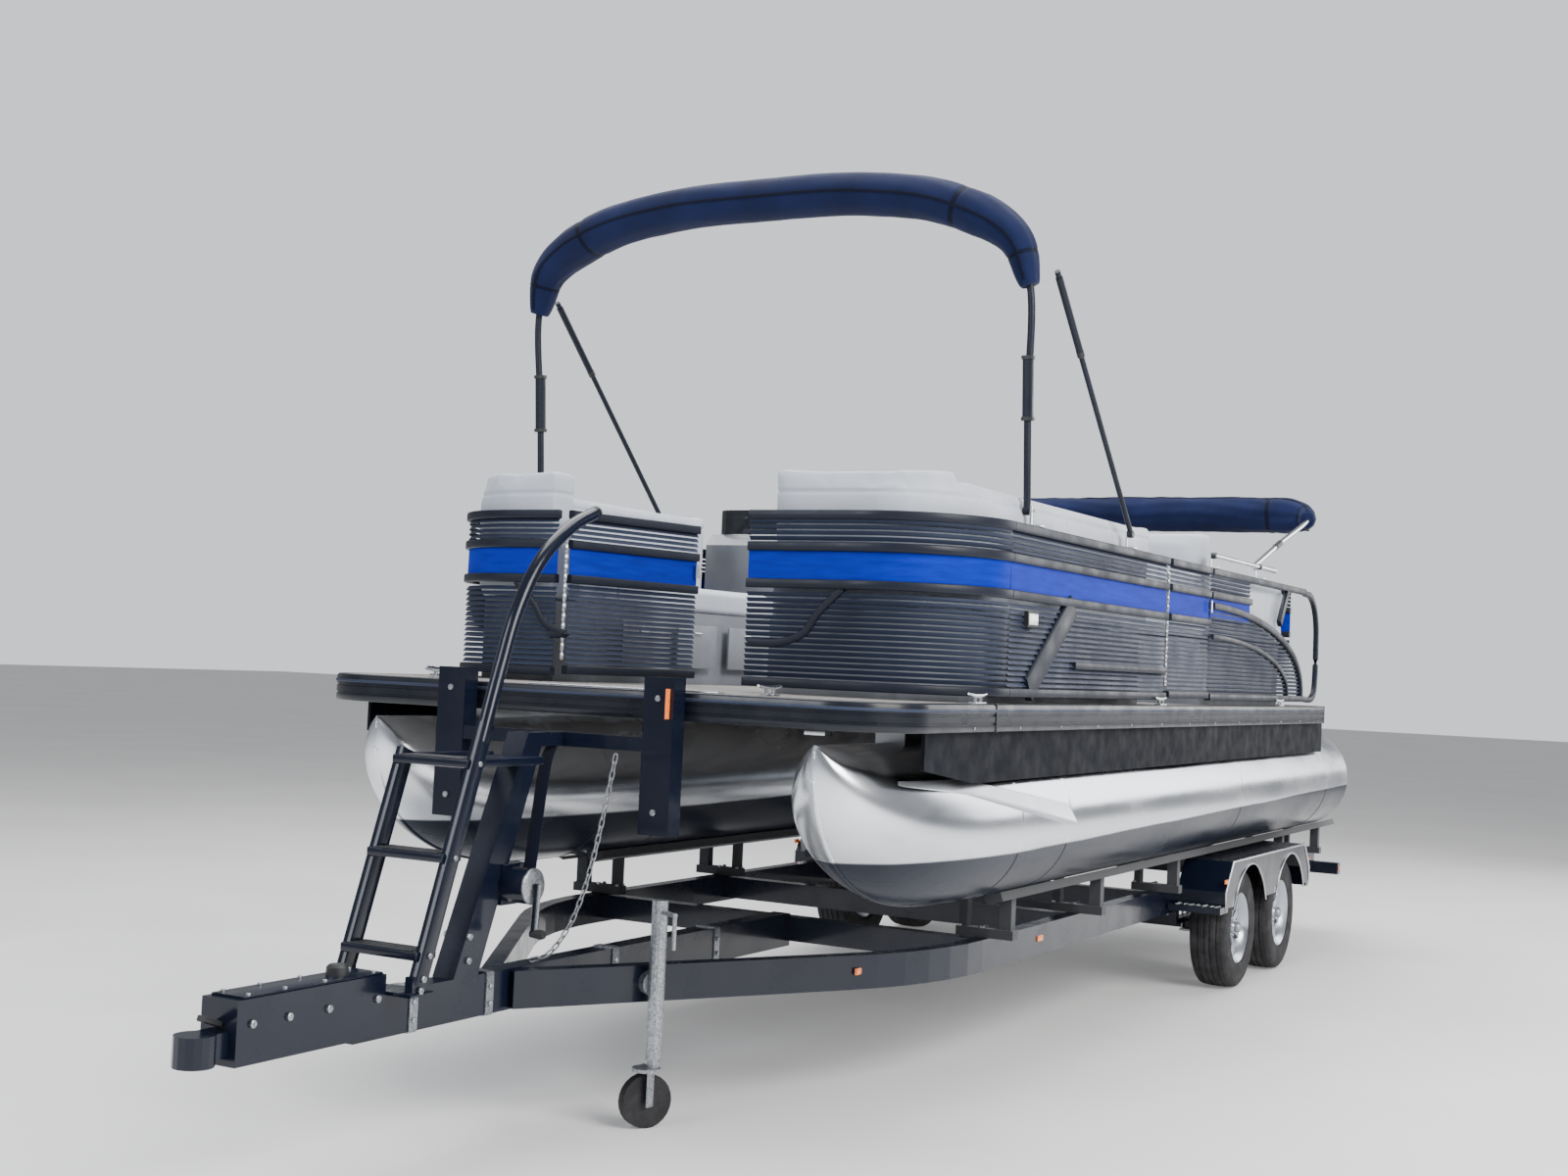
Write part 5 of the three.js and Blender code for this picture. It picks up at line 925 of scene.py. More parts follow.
class PONTOON_OT_fences(Maker, bpy.types.Operator):
    """Makes the fence rails, their louvres and tinted bands, and the aft rail loops"""
    bl_idname = "pontoon.fences"
    bl_label = "Fences"

    def make(self, trim):
        looks = [F["fence"], F["slat"], F["band"], F["steel"], F["lamp"], F["dark"]]
        for side, sign in SIDES:
            gate_edge = 0.33 if sign > 0 else -0.54
            turn = [(x, sign * y) for x, y in arc(5.155, FENCE_Y - 0.45, 0.45, 90, 0, 16)]
            turn = [(5.136, sign * FENCE_Y)] + turn + [(BOW_X, gate_edge + sign * 0.017)]
            plan = plan_line(*turn)
            parts = rails_on(plan) + infill(plan, trim)
            parts += [post(BOW_X, gate_edge + sign * 0.017), post(BOW_X, sign * 0.79),
                      post(5.153, sign * FENCE_Y)]
            curve = spline(line((BOW_X, sign * 0.76, 1.955), (BOW_X, sign * 0.66, 1.86),
                                (BOW_X, sign * 0.60, 1.78), (BOW_X, sign * 0.50, 1.743),
                                (BOW_X, gate_edge + sign * 0.03, 1.74)), 30)
            parts.append((sweep(curve, rounded(0.02, 0.03, 0.005)), 0))
            build(f"{side}_bow_fence_rails", parts, looks,
                  replaces=[f"{side}_bow_fence"], crease=50)
            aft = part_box(f"{side}_side_fence")[0][0] + SHIFT
            plan = plan_line((5.132, sign * FENCE_Y), (aft, sign * FENCE_Y))
            kick = with_height(plan_line((4.4, sign * FENCE_Y), (aft, sign * FENCE_Y)), 1.708)
            parts = rails_on(plan) + infill(plan, trim, kick)
            for px in np.linspace(5.115, aft + 0.017, 3 if sign > 0 else 4):
                parts.append(post(px, sign * FENCE_Y))
            parts.append((bar(at(4.44, sign * FENCE_Y, 1.955), at(4.92, sign * FENCE_Y, 1.60), 0.11, 0.03,
                              0.006, up=(0, 1, 0)), 0))
            lamp_at = (4.93, sign * (FENCE_Y + 0.014), 1.88)
            parts += [(bar(at(*lamp_at) - [0.055, 0, 0], at(*lamp_at) + [0.055, 0, 0], 0.018, 0.062, 0.006),
                       5),
                      (bar(at(*lamp_at) - [0.045, -sign * 0.008, 0], at(*lamp_at) + [0.045, sign * 0.008, 0],
                           0.006, 0.044, 0.003), 4)]
            parts += bimini_feet(sign, [(FRONT_BOW_X, LEG_Y, 0.015), (FRONT_BRACE_X, BRACE_Y, 0.012)])
            build(f"{side}_side_fence_rails", parts, looks,
                  replaces=[f"{side}_side_fence"], crease=50)
            self.aft_fence(side, sign, trim, looks)
        plan = plan_line((STERN_X, 1.222), (STERN_X, -0.403))
        parts = rails_on(plan) + infill(plan, trim)
        parts += [post(STERN_X, 1.2), post(STERN_X, 0.4), post(STERN_X, -0.403)]
        small = plan_line((STERN_X, -1.077), (STERN_X, -1.222))
        parts += rails_on(small) + infill(small, trim)
        parts += [post(STERN_X, -1.077), post(STERN_X, -1.205)]
        build("stern_fence_rails", parts, looks, replaces=["stern_fence"], crease=50)

    def aft_fence(self, side, sign, trim, looks):
        """The sheer rail that falls in an ellipse to the deck, louvres under it, and the tail loop."""
        y, front = sign * FENCE_Y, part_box(f"{side}_aft_fence")[1][0] + SHIFT
        sweep_x = 1.976

        def crown(x, drop=0.0):
            reach = np.clip((2.356 - x) / (sweep_x - 2.2 * drop), 0, 1)
            return 1.57 + (0.505 - drop) * np.sqrt(1 - reach ** 2) ** 0.8

        a = np.linspace(0, np.pi / 2, 40)
        arch = np.stack([2.356 - (sweep_x - 0.04) * np.sin(a) - SHIFT, np.full(40, y),
                         1.588 + 0.469 * np.cos(a) ** 0.8], -1)
        parts = [(sweep(arch, RAIL), 0)]
        inner = np.stack([2.356 - (sweep_x - 0.38) * np.sin(a) - SHIFT, np.full(40, y),
                          1.588 + 0.31 * np.cos(a) ** 0.8], -1)
        parts.append((sweep(inner, rounded(0.03, 0.026, 0.005)), 0))
        shoulder = 1.63
        parts += [rail((0.39, y, 1.588), (front, y, 1.588)), rail((0.4, y, 2.234), (front, y, 2.234)),
                  rail((shoulder, y, 2.112), (front, y, 2.112)),
                  (bar(at(0.97, y, 2.02), at(0.80, y, 2.222), 0.026, 0.05, 0.005), 0)]
        for z in np.arange(1.57 + 0.05, 2.05, trim.slat_pitch):
            x = np.linspace(0.40, front, 400)
            under = x[crown(x, 0.03) > z + 0.012]
            if len(under) > 20:
                parts += slats(plan_line((under[0], y), (front, y)), z - 0.6 * trim.slat_pitch,
                               z + 0.31 * trim.slat_pitch, trim)
        band = rounded(0.004, 0.11, 0.001, 1)
        parts.append((sweep(with_height(plan_line((shoulder, y), (front, y)), 2.04 + 0.008), band), 2))
        parts += slats(plan_line((shoulder, y), (front, y)), RAILS[2] + 0.018, RAILS[3] - 0.018, trim)
        parts.append(post(shoulder, y, 2.03, 2.25))
        parts += [post(front - 0.017, y), post(0.4, y, 1.605, 2.252)]
        loop = [(0.4, y, 2.234), (0.36, y, 2.225)]
        loop += [(px, y, pz) for px, pz in arc(0.305, 1.965, 0.26, 85, 180, 14)]
        loop += [(0.045, y, 1.72), (0.07, y, 1.63), (0.14, y, 1.59), (0.4, y, 1.588)]
        parts.append((sweep(spline(line(*loop), 70), rounded(0.03, 0.034, 0.006)), 0))
        parts += bimini_feet(sign, [(REAR_BOW_X, LEG_Y, 0.015), (REAR_BRACE_X, BRACE_Y, 0.012)])
        build(f"{side}_aft_fence_rails", parts, looks,
              replaces=[f"{side}_aft_fence"], crease=50)


class PONTOON_OT_gates(Maker, bpy.types.Operator):
    """Makes the bow, side and stern gates with their latches and hinges"""
    bl_idname = "pontoon.gates"
    bl_label = "Gates"

    def make(self, trim):
        for name, start, stop in (
                ("bow_gate", (BOW_X, -0.514), None),
                ("side_gate", (3.114, FENCE_Y), (2.404, FENCE_Y)),
                ("stern_gate", (STERN_X, -1.034), (STERN_X, -0.434))):
            self.panel(name, np.array(start), stop, trim)

    def panel(self, name, start, stop, trim):
        """One gate between two plan points: its frame, louvres, band, hinge and latch."""
        if stop is None:
            # this gate stands open, so its far corner is read from its box
            low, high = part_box(name)
            far_x = max(low[0] + SHIFT, high[0] + SHIFT, key=lambda x: abs(x - start[0]))
            far_y = max(low[1], high[1], key=lambda y: abs(y - start[1]))
            stop = np.array([far_x + 0.016 * np.sign(start[0] - far_x),
                             far_y - 0.005 * np.sign(far_y - start[1])])
        ahead = (stop - start) / np.linalg.norm(stop - start)
        one, two = start + 0.02 * ahead, stop - 0.017 * ahead
        plan = plan_line(tuple(one), tuple(two))
        parts = rails_on(plan, (FENCE_LOW + 0.026, *RAILS[1:]))
        parts += slats(plan, FENCE_LOW + 0.046, RAILS[1] - 0.018, trim)
        parts += slats(plan, RAILS[2] + 0.018, RAILS[3] - 0.018, trim)
        parts.append((sweep(with_height(plan, (RAILS[1] + RAILS[2]) / 2), rounded(0.004, 0.109, 0.001, 1)),
                      2))
        parts += [post(*one, FENCE_LOW + 0.01, FENCE_HIGH), post(*two, FENCE_LOW + 0.01, FENCE_HIGH)]
        parts.append(hinge(*start, FENCE_LOW + 0.06, FENCE_HIGH - 0.06))
        side = np.array([-ahead[1], ahead[0]])
        latch = stop - 0.03 * ahead
        for sign in (1, -1):
            spot = latch + sign * 0.02 * side
            parts.append((bar(at(*spot, 2.02), at(*spot, 2.08), 0.03, 0.008, 0.002,
                              up=(side[0], side[1], 0)), 3))
        looks = [F["fence"], F["slat"], F["band"], F["steel"]]
        build(f"{name}_rails", parts, looks, body=name, replaces=[name], crease=50)


# ---------------------------------------------------------------- upholstery
PAD_INSET, SEAM_DEPTH, SEAM_HALF, LIP_HEIGHT, LIP_AT = 0.006, 0.007, 0.006, 0.0015, 0.013


def points_of(mesh):
    """Where the vertices are, one row each."""
    found = np.empty(len(mesh.vertices) * 3, np.float32)
    mesh.vertices.foreach_get("co", found)
    return found.reshape(-1, 3).astype(float)


def normals_of(mesh):
    """Which way the vertices face, one row each."""
    found = np.empty(len(mesh.vertices) * 3, np.float32)
    mesh.vertex_normals.foreach_get("vector", found)
    return found.reshape(-1, 3)


def move_points(mesh, points):
    mesh.vertices.foreach_set("co", points.astype(np.float32).ravel())


def cushion(name, node, trim, body=ROOT, size=0.014, swell=None, seams=()):
    """A padded piece: a copy of the node's shape, closed and evenly meshed, swollen by cloth
    simulation, smoothed once, then pinched along its sewn seams. A seam is a plane given by its
    axis and place: points near it are drawn in, and a low lip rises on both sides of it."""
    swell = trim.pad_rise if swell is None else swell
    source = NODES[node]
    mesh = source.data.copy()
    pad = bpy.data.objects.new(name, mesh)
    bpy.context.scene.collection.objects.link(pad)
    shape = bmesh.new()
    shape.from_mesh(mesh)
    bmesh.ops.remove_doubles(shape, verts=shape.verts, dist=1e-5)
    shape.to_mesh(mesh)
    shape.free()
    bpy.context.view_layer.objects.active = pad
    for other in bpy.context.selected_objects:
        other.select_set(False)
    pad.select_set(True)
    remesh = pad.modifiers.new("even", "REMESH")
    remesh.mode = "VOXEL"
    remesh.voxel_size = size
    bpy.ops.object.modifier_apply(modifier=remesh.name)
    start = points_of(pad.data)
    start -= PAD_INSET * normals_of(pad.data)
    move_points(pad.data, start)
    if trim.simulate:
        cloth = pad.modifiers.new("swell", "CLOTH")
        cloth.settings.use_pressure = True
        cloth.settings.uniform_pressure_force = 4.0
        cloth.settings.effector_weights.gravity = 0.0
        cloth.settings.quality = 4
        cloth.settings.tension_stiffness = cloth.settings.compression_stiffness = 25
        for frame in range(1, 21):
            bpy.context.scene.frame_set(frame)
        bpy.ops.object.modifier_apply(modifier=cloth.name)
    shift = points_of(pad.data) - start
    far = np.linalg.norm(shift, axis=1, keepdims=True)
    moved = start + shift * np.minimum(1, swell / np.maximum(far, 1e-9))
    soft = pad.modifiers.new("soft", "SUBSURF")
    soft.levels = soft.render_levels = 1
    move_points(pad.data, moved)
    bpy.ops.object.modifier_apply(modifier=soft.name)
    skin, normal = points_of(pad.data), normals_of(pad.data)
    depth = np.zeros(len(skin))
    for axis, where in seams:
        gap = skin[:, axis] - where
        lip = LIP_HEIGHT * np.exp(-((np.abs(gap) - LIP_AT) / 0.004) ** 2)
        depth = np.maximum(depth, SEAM_DEPTH * np.exp(-(gap / SEAM_HALF) ** 2) - lip)
    skin -= depth[:, None] * normal
    move_points(pad.data, skin)
    pad.data.update()
    pad.data.polygons.foreach_set("use_smooth", np.ones(len(pad.data.polygons), bool))
    pad.data.materials.clear()
    pad.data.materials.append(F["seat"])
    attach(pad, body)
    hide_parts(node)
    return pad


class PONTOON_OT_seats(Maker, bpy.types.Operator):
    """Pads the lounges and the helm seat, and gives their bases hatches"""
    bl_idname = "pontoon.seats"
    bl_label = "Seats"

    def make(self, trim):
        for side, sign in SIDES:
            aft = 3.19 if sign > 0 else 3.64
            cuts = [(0, place_x - SHIFT) for place_x in np.linspace(aft, 5.05, 4)[1:]]
            cushion(f"{side}_lounge_seat_pad", f"{side}_lounge_seat", trim, seams=cuts)
            backs = [(0, place_x - SHIFT) for place_x in np.linspace(aft, 4.95, 4)[1:]]
            cushion(f"{side}_lounge_back_pad", f"{side}_lounge_back", trim,
                    seams=backs + [(2, 2.13), (2, 2.33)])
        cushion("aft_lounge_seat_pad", "aft_lounge_seat", trim,
                seams=[(0, px - SHIFT) for px in (1.15, 1.75)] + [(1, 0.2)])
        cushion("aft_lounge_back_pad", "aft_lounge_back", trim,
                seams=[(0, px - SHIFT) for px in (1.15, 1.75)] + [(1, 0.25), (1, 0.75)])
        cushion("helm_seat_pad", "helm_seat", trim, body="helm_seat", size=0.012, swell=0.012,
                seams=[(2, 2.2)])
        coat("base", "port_lounge_base", "starboard_lounge_base", "aft_lounge_base")
        coat("dark", "helm_seat_pedestal")
        trim_parts = []
        for sign in (1, -1):
            y = 0.596 * sign
            for px in np.arange(3.95, 4.9, 0.46):
                frame_z = 1.72
                trim_parts.append((bar(at(px - 0.17, y, frame_z), at(px + 0.17, y, frame_z), 0.008, 0.2,
                                       0.004), 0))
                trim_parts.append((bar(at(px - 0.03, y - sign * 0.006, frame_z + 0.06),
                                       at(px + 0.03, y - sign * 0.006, frame_z + 0.06), 0.006, 0.014,
                                       0.002), 1))
        build("lounge_hatches", trim_parts, [F["base"], F["steel"]], crease=40)


# ---------------------------------------------------------------- helm
class PONTOON_OT_helm(Maker, bpy.types.Operator):
    """Makes the gauges and the throttle, and finishes the console, the windscreen and the steering wheel"""
    bl_idname = "pontoon.helm"
    bl_label = "Helm"

    def make(self, trim):
        coat("console", "helm_console")
        coat("screen", "windscreen")
        coat("dark", "steering_wheel")
        low, high = (np.array(v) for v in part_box("helm_console"))
        parts = []
        slope = unit(np.array([-math.sin(math.radians(30)), 0, math.cos(math.radians(30))]))
        for y in (low[1] + 0.14, low[1] + 0.46):
            centre = np.array([low[0] + 0.115, y, high[2] - 0.055])
            parts.append((turned([(0, 0.004), (0.036, 0.004), (0.04, 0.01), (0.046, 0.01), (0.047, 0.0),
                                  (0.0, -0.002)], centre, slope, 32), 1, "turned"))
            parts.append((turned([(0, 0.006), (0.035, 0.006), (0.035, 0.003), (0, 0.003)], centre, slope,
                                 32),
                          2, "turned"))
        lever = np.array([low[0] + 0.2, low[1] + 0.04, high[2] - 0.01])
        parts.append((bar(lever, lever + [0.06, 0, 0.11], 0.014, 0.02, 0.004), 0))
        parts.append((turned([(0, 0), (0.012, 0.002), (0.016, 0.014), (0.012, 0.028), (0, 0.03)],
                             lever + [0.06, 0, 0.1], unit(np.array([0.5, 0, 0.87])), 20), 1, "turned"))
        build("helm_instruments", parts, [F["dark"], F["steel"], F["gauge"]], crease=40)


# ---------------------------------------------------------------- bimini tops
def bow_points(leg, crown):
    """A whole bow in its own plane, as (across, along the leg)."""
    rise = crown - leg
    half = np.array([
        (LEG_Y, 0), (LEG_Y, leg * 0.5), (LEG_Y + 0.006, leg), (LEG_Y - 0.14 * rise, leg + 0.44 * rise),
        (LEG_Y - 0.77 * rise, leg + 0.8 * rise), (LEG_Y * 0.4, crown - 0.03 * rise), (0, crown)])
    return np.vstack([half, half[-2::-1] * [-1, 1]])


class PONTOON_OT_biminis(Maker, bpy.types.Operator):
    """Makes both bimini bows, their furled canvas in its boots and their braces"""
    bl_idname = "pontoon.biminis"
    bl_label = "Bimini tops"

    def make(self, trim):
        for end, foot_x, angle, leg, crown, look, slot_name in (
                ("front", FRONT_BOW_X, 85.0, 0.9, 1.33, "fence", "fence_paint"),
                ("rear", REAR_BOW_X, 163.0, 1.27, 1.42, "tube", "bright_tube")):
            lean = np.array([math.cos(math.radians(angle)), math.sin(math.radians(angle))])
            flat = bow_points(leg, crown)
            whole = np.stack([foot_x - SHIFT + lean[0] * flat[:, 1], flat[:, 0],
                              FOOT_Z + lean[1] * flat[:, 1]], -1)
            up = (-lean[1], 0, lean[0])
            along = np.array([lean[0], 0, lean[1]])
            path = spline(whole, 160)
            parts = [(sweep(path, circle(0.015, 20), up), 0)]
            for sign in (1, -1):
                foot = at(foot_x, sign * LEG_Y, FOOT_Z)
                parts.append((pin(foot - [0, 0.014, 0], foot + [0, 0.014, 0], 0.019, 24), 0))
                if end == "front":
                    parts.append((bar(foot + along * 0.36, foot + along * 0.62, 0.04, 0.036, 0.008,
                                      (1, 0, 0)), 0))
                    parts.append((bar(foot + along * 0.36, foot + along * 0.375, 0.048, 0.044, 0.008,
                                      (1, 0, 0)), 1))
                    parts.append((bar(foot + along * 0.605, foot + along * 0.62, 0.048, 0.044, 0.008,
                                      (1, 0, 0)), 1))
                else:
                    parts.append((pin(foot + along * 0.5, foot + along * 0.62, 0.018, 24), 1))
            build(f"{end}_bimini_bow", parts, [F[look], F["dark"]], body=f"{end}_bimini",
                  replaces=[f"{end}_bimini_frame"], crease=40)
            self.boot(end, whole[2:-2], up)
        for side, sign in SIDES:
            for end, foot_x, length, angle, look, slot_name in (
                    ("front", FRONT_BRACE_X, 1.45, 43.0, "fence", "fence_paint"),
                    ("rear", REAR_BRACE_X, 1.25, 180.0, "tube", "bright_tube")):
                foot = at(foot_x, sign * BRACE_Y, FOOT_Z)
                run = length * np.array([math.cos(math.radians(angle)), 0, math.sin(math.radians(angle))])
                parts = [(pin(foot, foot + run, 0.012, 24), 0),
                         (pin(foot + 0.72 * run, foot + 0.98 * run, 0.0155, 24), 0),
                         (pin(foot + 0.70 * run, foot + 0.72 * run, 0.0165, 24), 1),
                         (pin(foot - [0, 0.0115, 0], foot + [0, 0.0115, 0], 0.017, 24), 1)]
                build(f"{end}_brace_tube_{side}", parts, [F[look], F["dark"]],
                      body=f"{end}_brace_{side}", replaces=[f"{end}_brace_{side}"], crease=40)

    def boot(self, end, route, up):
        """Furled canvas round the bow: the radius swells and sinks in folds that run along and
        across it, narrows at both ends, and is gathered under webbing ties."""
        path = spline(route, 420)
        share = np.linspace(0, 1, len(path))
        a = np.linspace(0, 2 * np.pi, 56, endpoint=False)
        run = np.cumsum(np.r_[0, np.linalg.norm(np.diff(path, axis=0), axis=1)])
        s, turn = run[:, None], a[None]
        ends = np.clip(np.minimum(share, 1 - share) / 0.17, 0, 1)[:, None]
        body = 0.042 + 0.060 * ends ** 0.7
        folds = (0.35 * np.sin(5 * turn + 3.1 * np.sin(1.7 * s))
                 + 0.3 * np.sin(9 * turn - 4 * s + 2 * np.sin(6 * s))
                 + 0.25 * np.sin(21 * s + 2 * turn) * np.sin(3.3 * s + 1)
                 + 0.2 * np.sin(47 * s + 3 * np.sin(turn * 2)) * np.cos(turn + 5 * s))
        ties = share[:, None]
        spots = np.array([0.06, 0.2, 0.8, 0.94])
        pinch = np.exp(-((ties - spots[None]) / 0.004) ** 2).sum(1, keepdims=True)
        calm = 0.4 + 0.6 * np.clip(np.abs(ties - 0.5) / 0.4, 0, 1) ** 2 if end == "front" else 1.4
        radius = body * (1 - 0.02 * calm + 0.042 * calm * folds - 0.06 * pinch)
        flat = 1 - 0.12 * np.cos(2 * turn)
        ahead = unit(np.gradient(path, axis=0))
        side = unit(np.cross(np.broadcast_to(up, ahead.shape), ahead))
        top = np.cross(ahead, side)
        reach = radius * flat
        skin = path[:, None] + reach[..., None] * (
            np.cos(a)[None, :, None] * side[:, None] + np.sin(a)[None, :, None] * top[:, None])
        parts = [(skin, 0)]
        for spot in spots:
            k = int(spot * (len(path) - 1))
            band = slice(k - 2, k + 3)
            strap = path[band][:, None] + 1.035 * (skin[k][None] - path[k][None, None])
            parts.append((strap, 1))
            buckle = strap[2, 14]
            parts.append((bar(buckle - ahead[k] * 0.016, buckle + ahead[k] * 0.016, 0.03, 0.008, 0.002), 2))
        seam = path[4:-4] + (reach[4:-4, 42:43] + 0.001) * (
            math.cos(a[42]) * side[4:-4] + math.sin(a[42]) * top[4:-4])
        parts.append((sweep(seam, rounded(0.014, 0.004, 0.001), up), 1))
        build(f"{end}_bimini_canvas", parts, [F["canvas"], F["webbing"], F["dark"]],
              body=f"{end}_bimini", replaces=[f"{end}_bimini_boot"], crease=60)


# ---------------------------------------------------------------- outboard motor
STEER_X, LEG_TOP, PROP_X, PROP_Z = -0.6, 1.6, -1.022, 0.77


def motor_loft(rings, rows):
    """Level rounded rings (height, reach aft, reach ahead, half width, corner) joined by a smooth
    curve through each measure, as a closed hull of rows."""
    table = spline(rings, rows)
    out = []
    for z, back, front, half, corner in table:
        corner = min(corner, half * 0.98, (back + front) * 0.49)
        ring = rounded(back + front, 2 * half, corner, 9)
        out.append(np.column_stack([ring[:, 0] + STEER_X - SHIFT + (front - back) / 2, ring[:, 1],
                                    np.full(len(ring), z)]))
    return np.array(out)


class PONTOON_OT_outboard(Maker, bpy.types.Operator):
    """Makes the outboard motor: cowl, leg, gearcase, propeller and its bracket's fittings"""
    bl_idname = "pontoon.outboard"
    bl_label = "Outboard motor"

    def make(self, trim):
        cowl = motor_loft([(LEG_TOP + 0.03, 0.54, 0.09, 0.19, 0.11),
                           (LEG_TOP + 0.13, 0.60, 0.12, 0.225, 0.13),
                           (LEG_TOP + 0.33, 0.61, 0.125, 0.232, 0.13),
                           (LEG_TOP + 0.46, 0.56, 0.10, 0.205, 0.13),
                           (LEG_TOP + 0.54, 0.46, 0.04, 0.15, 0.11),
                           (LEG_TOP + 0.561, 0.37, -0.05, 0.09, 0.07)], 48)
        parts = [(cowl, 0)]
        for z in (LEG_TOP + 0.135, LEG_TOP + 0.31):
            k = int(np.argmin(np.abs(cowl[:, 0, 2] - z)))
            ring = cowl[k].copy()
            centre = ring.mean(0)
            ring[:, :2] = centre[:2] + (ring[:, :2] - centre[:2]) * 1.006
            out = unit(ring - ring.mean(0))
            section = rounded(0.006, 0.014 if z < LEG_TOP + 0.2 else 0.05, 0.0025)
            band = ring[:, None] + section[None, :, :1] * out[:, None] + section[None, :, 1:] * [0, 0, 1]
            parts.append((band, 1 if z < LEG_TOP + 0.2 else 2, "loop"))
        handle = LEG_TOP + 0.19
        parts.append((bar(at(STEER_X - 0.607, -0.06, handle), at(STEER_X - 0.607, 0.06, handle),
                          0.02, 0.03, 0.006), 1))
        for k in range(6):
            z = LEG_TOP + 0.43 + 0.012 * k
            for sign in (1, -1):
                parts.append((bar(at(STEER_X - 0.40, sign * (0.214 - 0.007 * k), z),
                                  at(STEER_X - 0.24, sign * (0.214 - 0.007 * k), z), 0.008, 0.005, 0.002),
                                  1))
        build("outboard_cowl_shell", parts, [F["cowl"], F["dark"], F["grey"]],
              body="outboard_motor", replaces=["outboard_cowl"], crease=40)
        leg = motor_loft([(PROP_Z + 0.03, 0.23, -0.044, 0.03, 0.02),
                          (PROP_Z + 0.23, 0.27, -0.064, 0.052, 0.03),
                          (1.2, 0.29, -0.044, 0.075, 0.04), (LEG_TOP - 0.014, 0.33, -0.044, 0.11, 0.05)], 30)
        pan = motor_loft([(LEG_TOP - 0.013, 0.42, 0.025, 0.138, 0.09),
                          (LEG_TOP + 0.0296, 0.49, 0.07, 0.17, 0.10)],
                         4)
        torpedo = turned([(0, 0.18), (0.03, 0.172), (0.047, 0.14), (0.056, 0.07), (0.058, -0.02),
                          (0.056, -0.1),
                          (0.052, -0.178), (0.0, -0.179)], at(STEER_X - 0.19, 0, PROP_Z), (1, 0, 0), 40)
        plate = bar(at(STEER_X - 0.53, 0, PROP_Z + 0.206), at(STEER_X - 0.06, 0, PROP_Z + 0.206), 0.22,
                    0.012,
                    0.004)
        edge = np.array([(-0.30, -0.19), (-0.255, -0.19), (-0.17, -0.13), (-0.06, -0.05)])
        aft = np.array([(-0.33, -0.19), (-0.31, -0.15), (-0.25, -0.08), (-0.19, -0.02)])
        skeg = []
        for (fx, fz), (ax, _) in zip(edge, aft):
            long, middle = fx - ax, (fx + ax) / 2
            ring = np.array([(middle + long / 2 * math.cos(t), 0.007 * math.sin(t)) for t in
                             np.linspace(0, 2 * np.pi, 16, endpoint=False)])
            skeg.append(np.column_stack([ring[:, 0] + STEER_X - SHIFT, ring[:, 1],
                                         np.full(16, PROP_Z + fz)]))
        parts = [(leg, 0), (pan, 0), (torpedo, 0, "turned"), (plate, 0), (np.array(skeg), 0)]
        parts.append((bar(at(STEER_X - 0.46, 0, PROP_Z + 0.185), at(STEER_X - 0.38, 0, PROP_Z + 0.17), 0.02,
                          0.05,
                          0.004), 1))
        for sign in (1, -1):
            for k in range(4):
                z = PROP_Z + 0.07 + 0.018 * k
                parts.append((bar(at(STEER_X - 0.12, sign * (0.036 + 0.004 * k), z),
                                  at(STEER_X - 0.08, sign * (0.034 + 0.004 * k), z), 0.008, 0.006, 0.002),
                                  2))
        build("outboard_leg_casting", parts, [F["cowl"], F["zinc"], F["dark"]],
              body="outboard_motor", replaces=["outboard_leg"], crease=40)
        blades = [(turned([(0, 0.05), (0.03, 0.049), (0.042, 0.04), (0.046, 0.0), (0.052, -0.046),
                           (0.0, -0.047)],
                          at(PROP_X, 0, PROP_Z), (-1, 0, 0), 32), 0, "turned")]
        radii = np.linspace(0.036, 0.178, 14)
        for lead in (0, 120, 240):
            rows = []
            for r in radii:
                grow = (r - 0.036) / 0.142
                chord = 0.034 + 0.05 * math.sin(math.pi * min(grow, 0.93) * 0.9) if grow < 1 else 0.02
                pitch = math.atan2(0.065, r)
                rake = -0.012 * grow
                t = np.linspace(0, 2 * np.pi, 20, endpoint=False)
                u, v = chord * np.cos(t), (0.0055 - 0.0035 * grow) * np.sin(t)
                along = u * math.sin(pitch) + v * math.cos(pitch) + rake
                around = (u * math.cos(pitch) - v * math.sin(pitch)) / r + math.radians(lead + 14 * grow)
                rows.append(np.column_stack([along * 0.8 + PROP_X - SHIFT, r * np.cos(around),
                                             PROP_Z + r * np.sin(around)]))
            blades.append((np.array(rows), 0))
        build("propeller_blades", blades, [F["steel"]], body="propeller",
              replaces=["propeller"],
              crease=60)
        coat("grey", "outboard_clamp", "outboard_swivel")
        bolts = [(head(at(-0.50, sign * 0.075, z), (-1, 0, 0), 0.012, 0.008), 0)
                 for sign in (1, -1) for z in (1.2, 1.26, 1.38)]
        build("outboard_clamp_bolts", bolts, [F["steel"]])


# ---------------------------------------------------------------- wheels
WHEEL_R, TYRE_HALF, TRACK = 0.3275, 0.1025, 1.1375
AXLES = (1.551, 0.667)


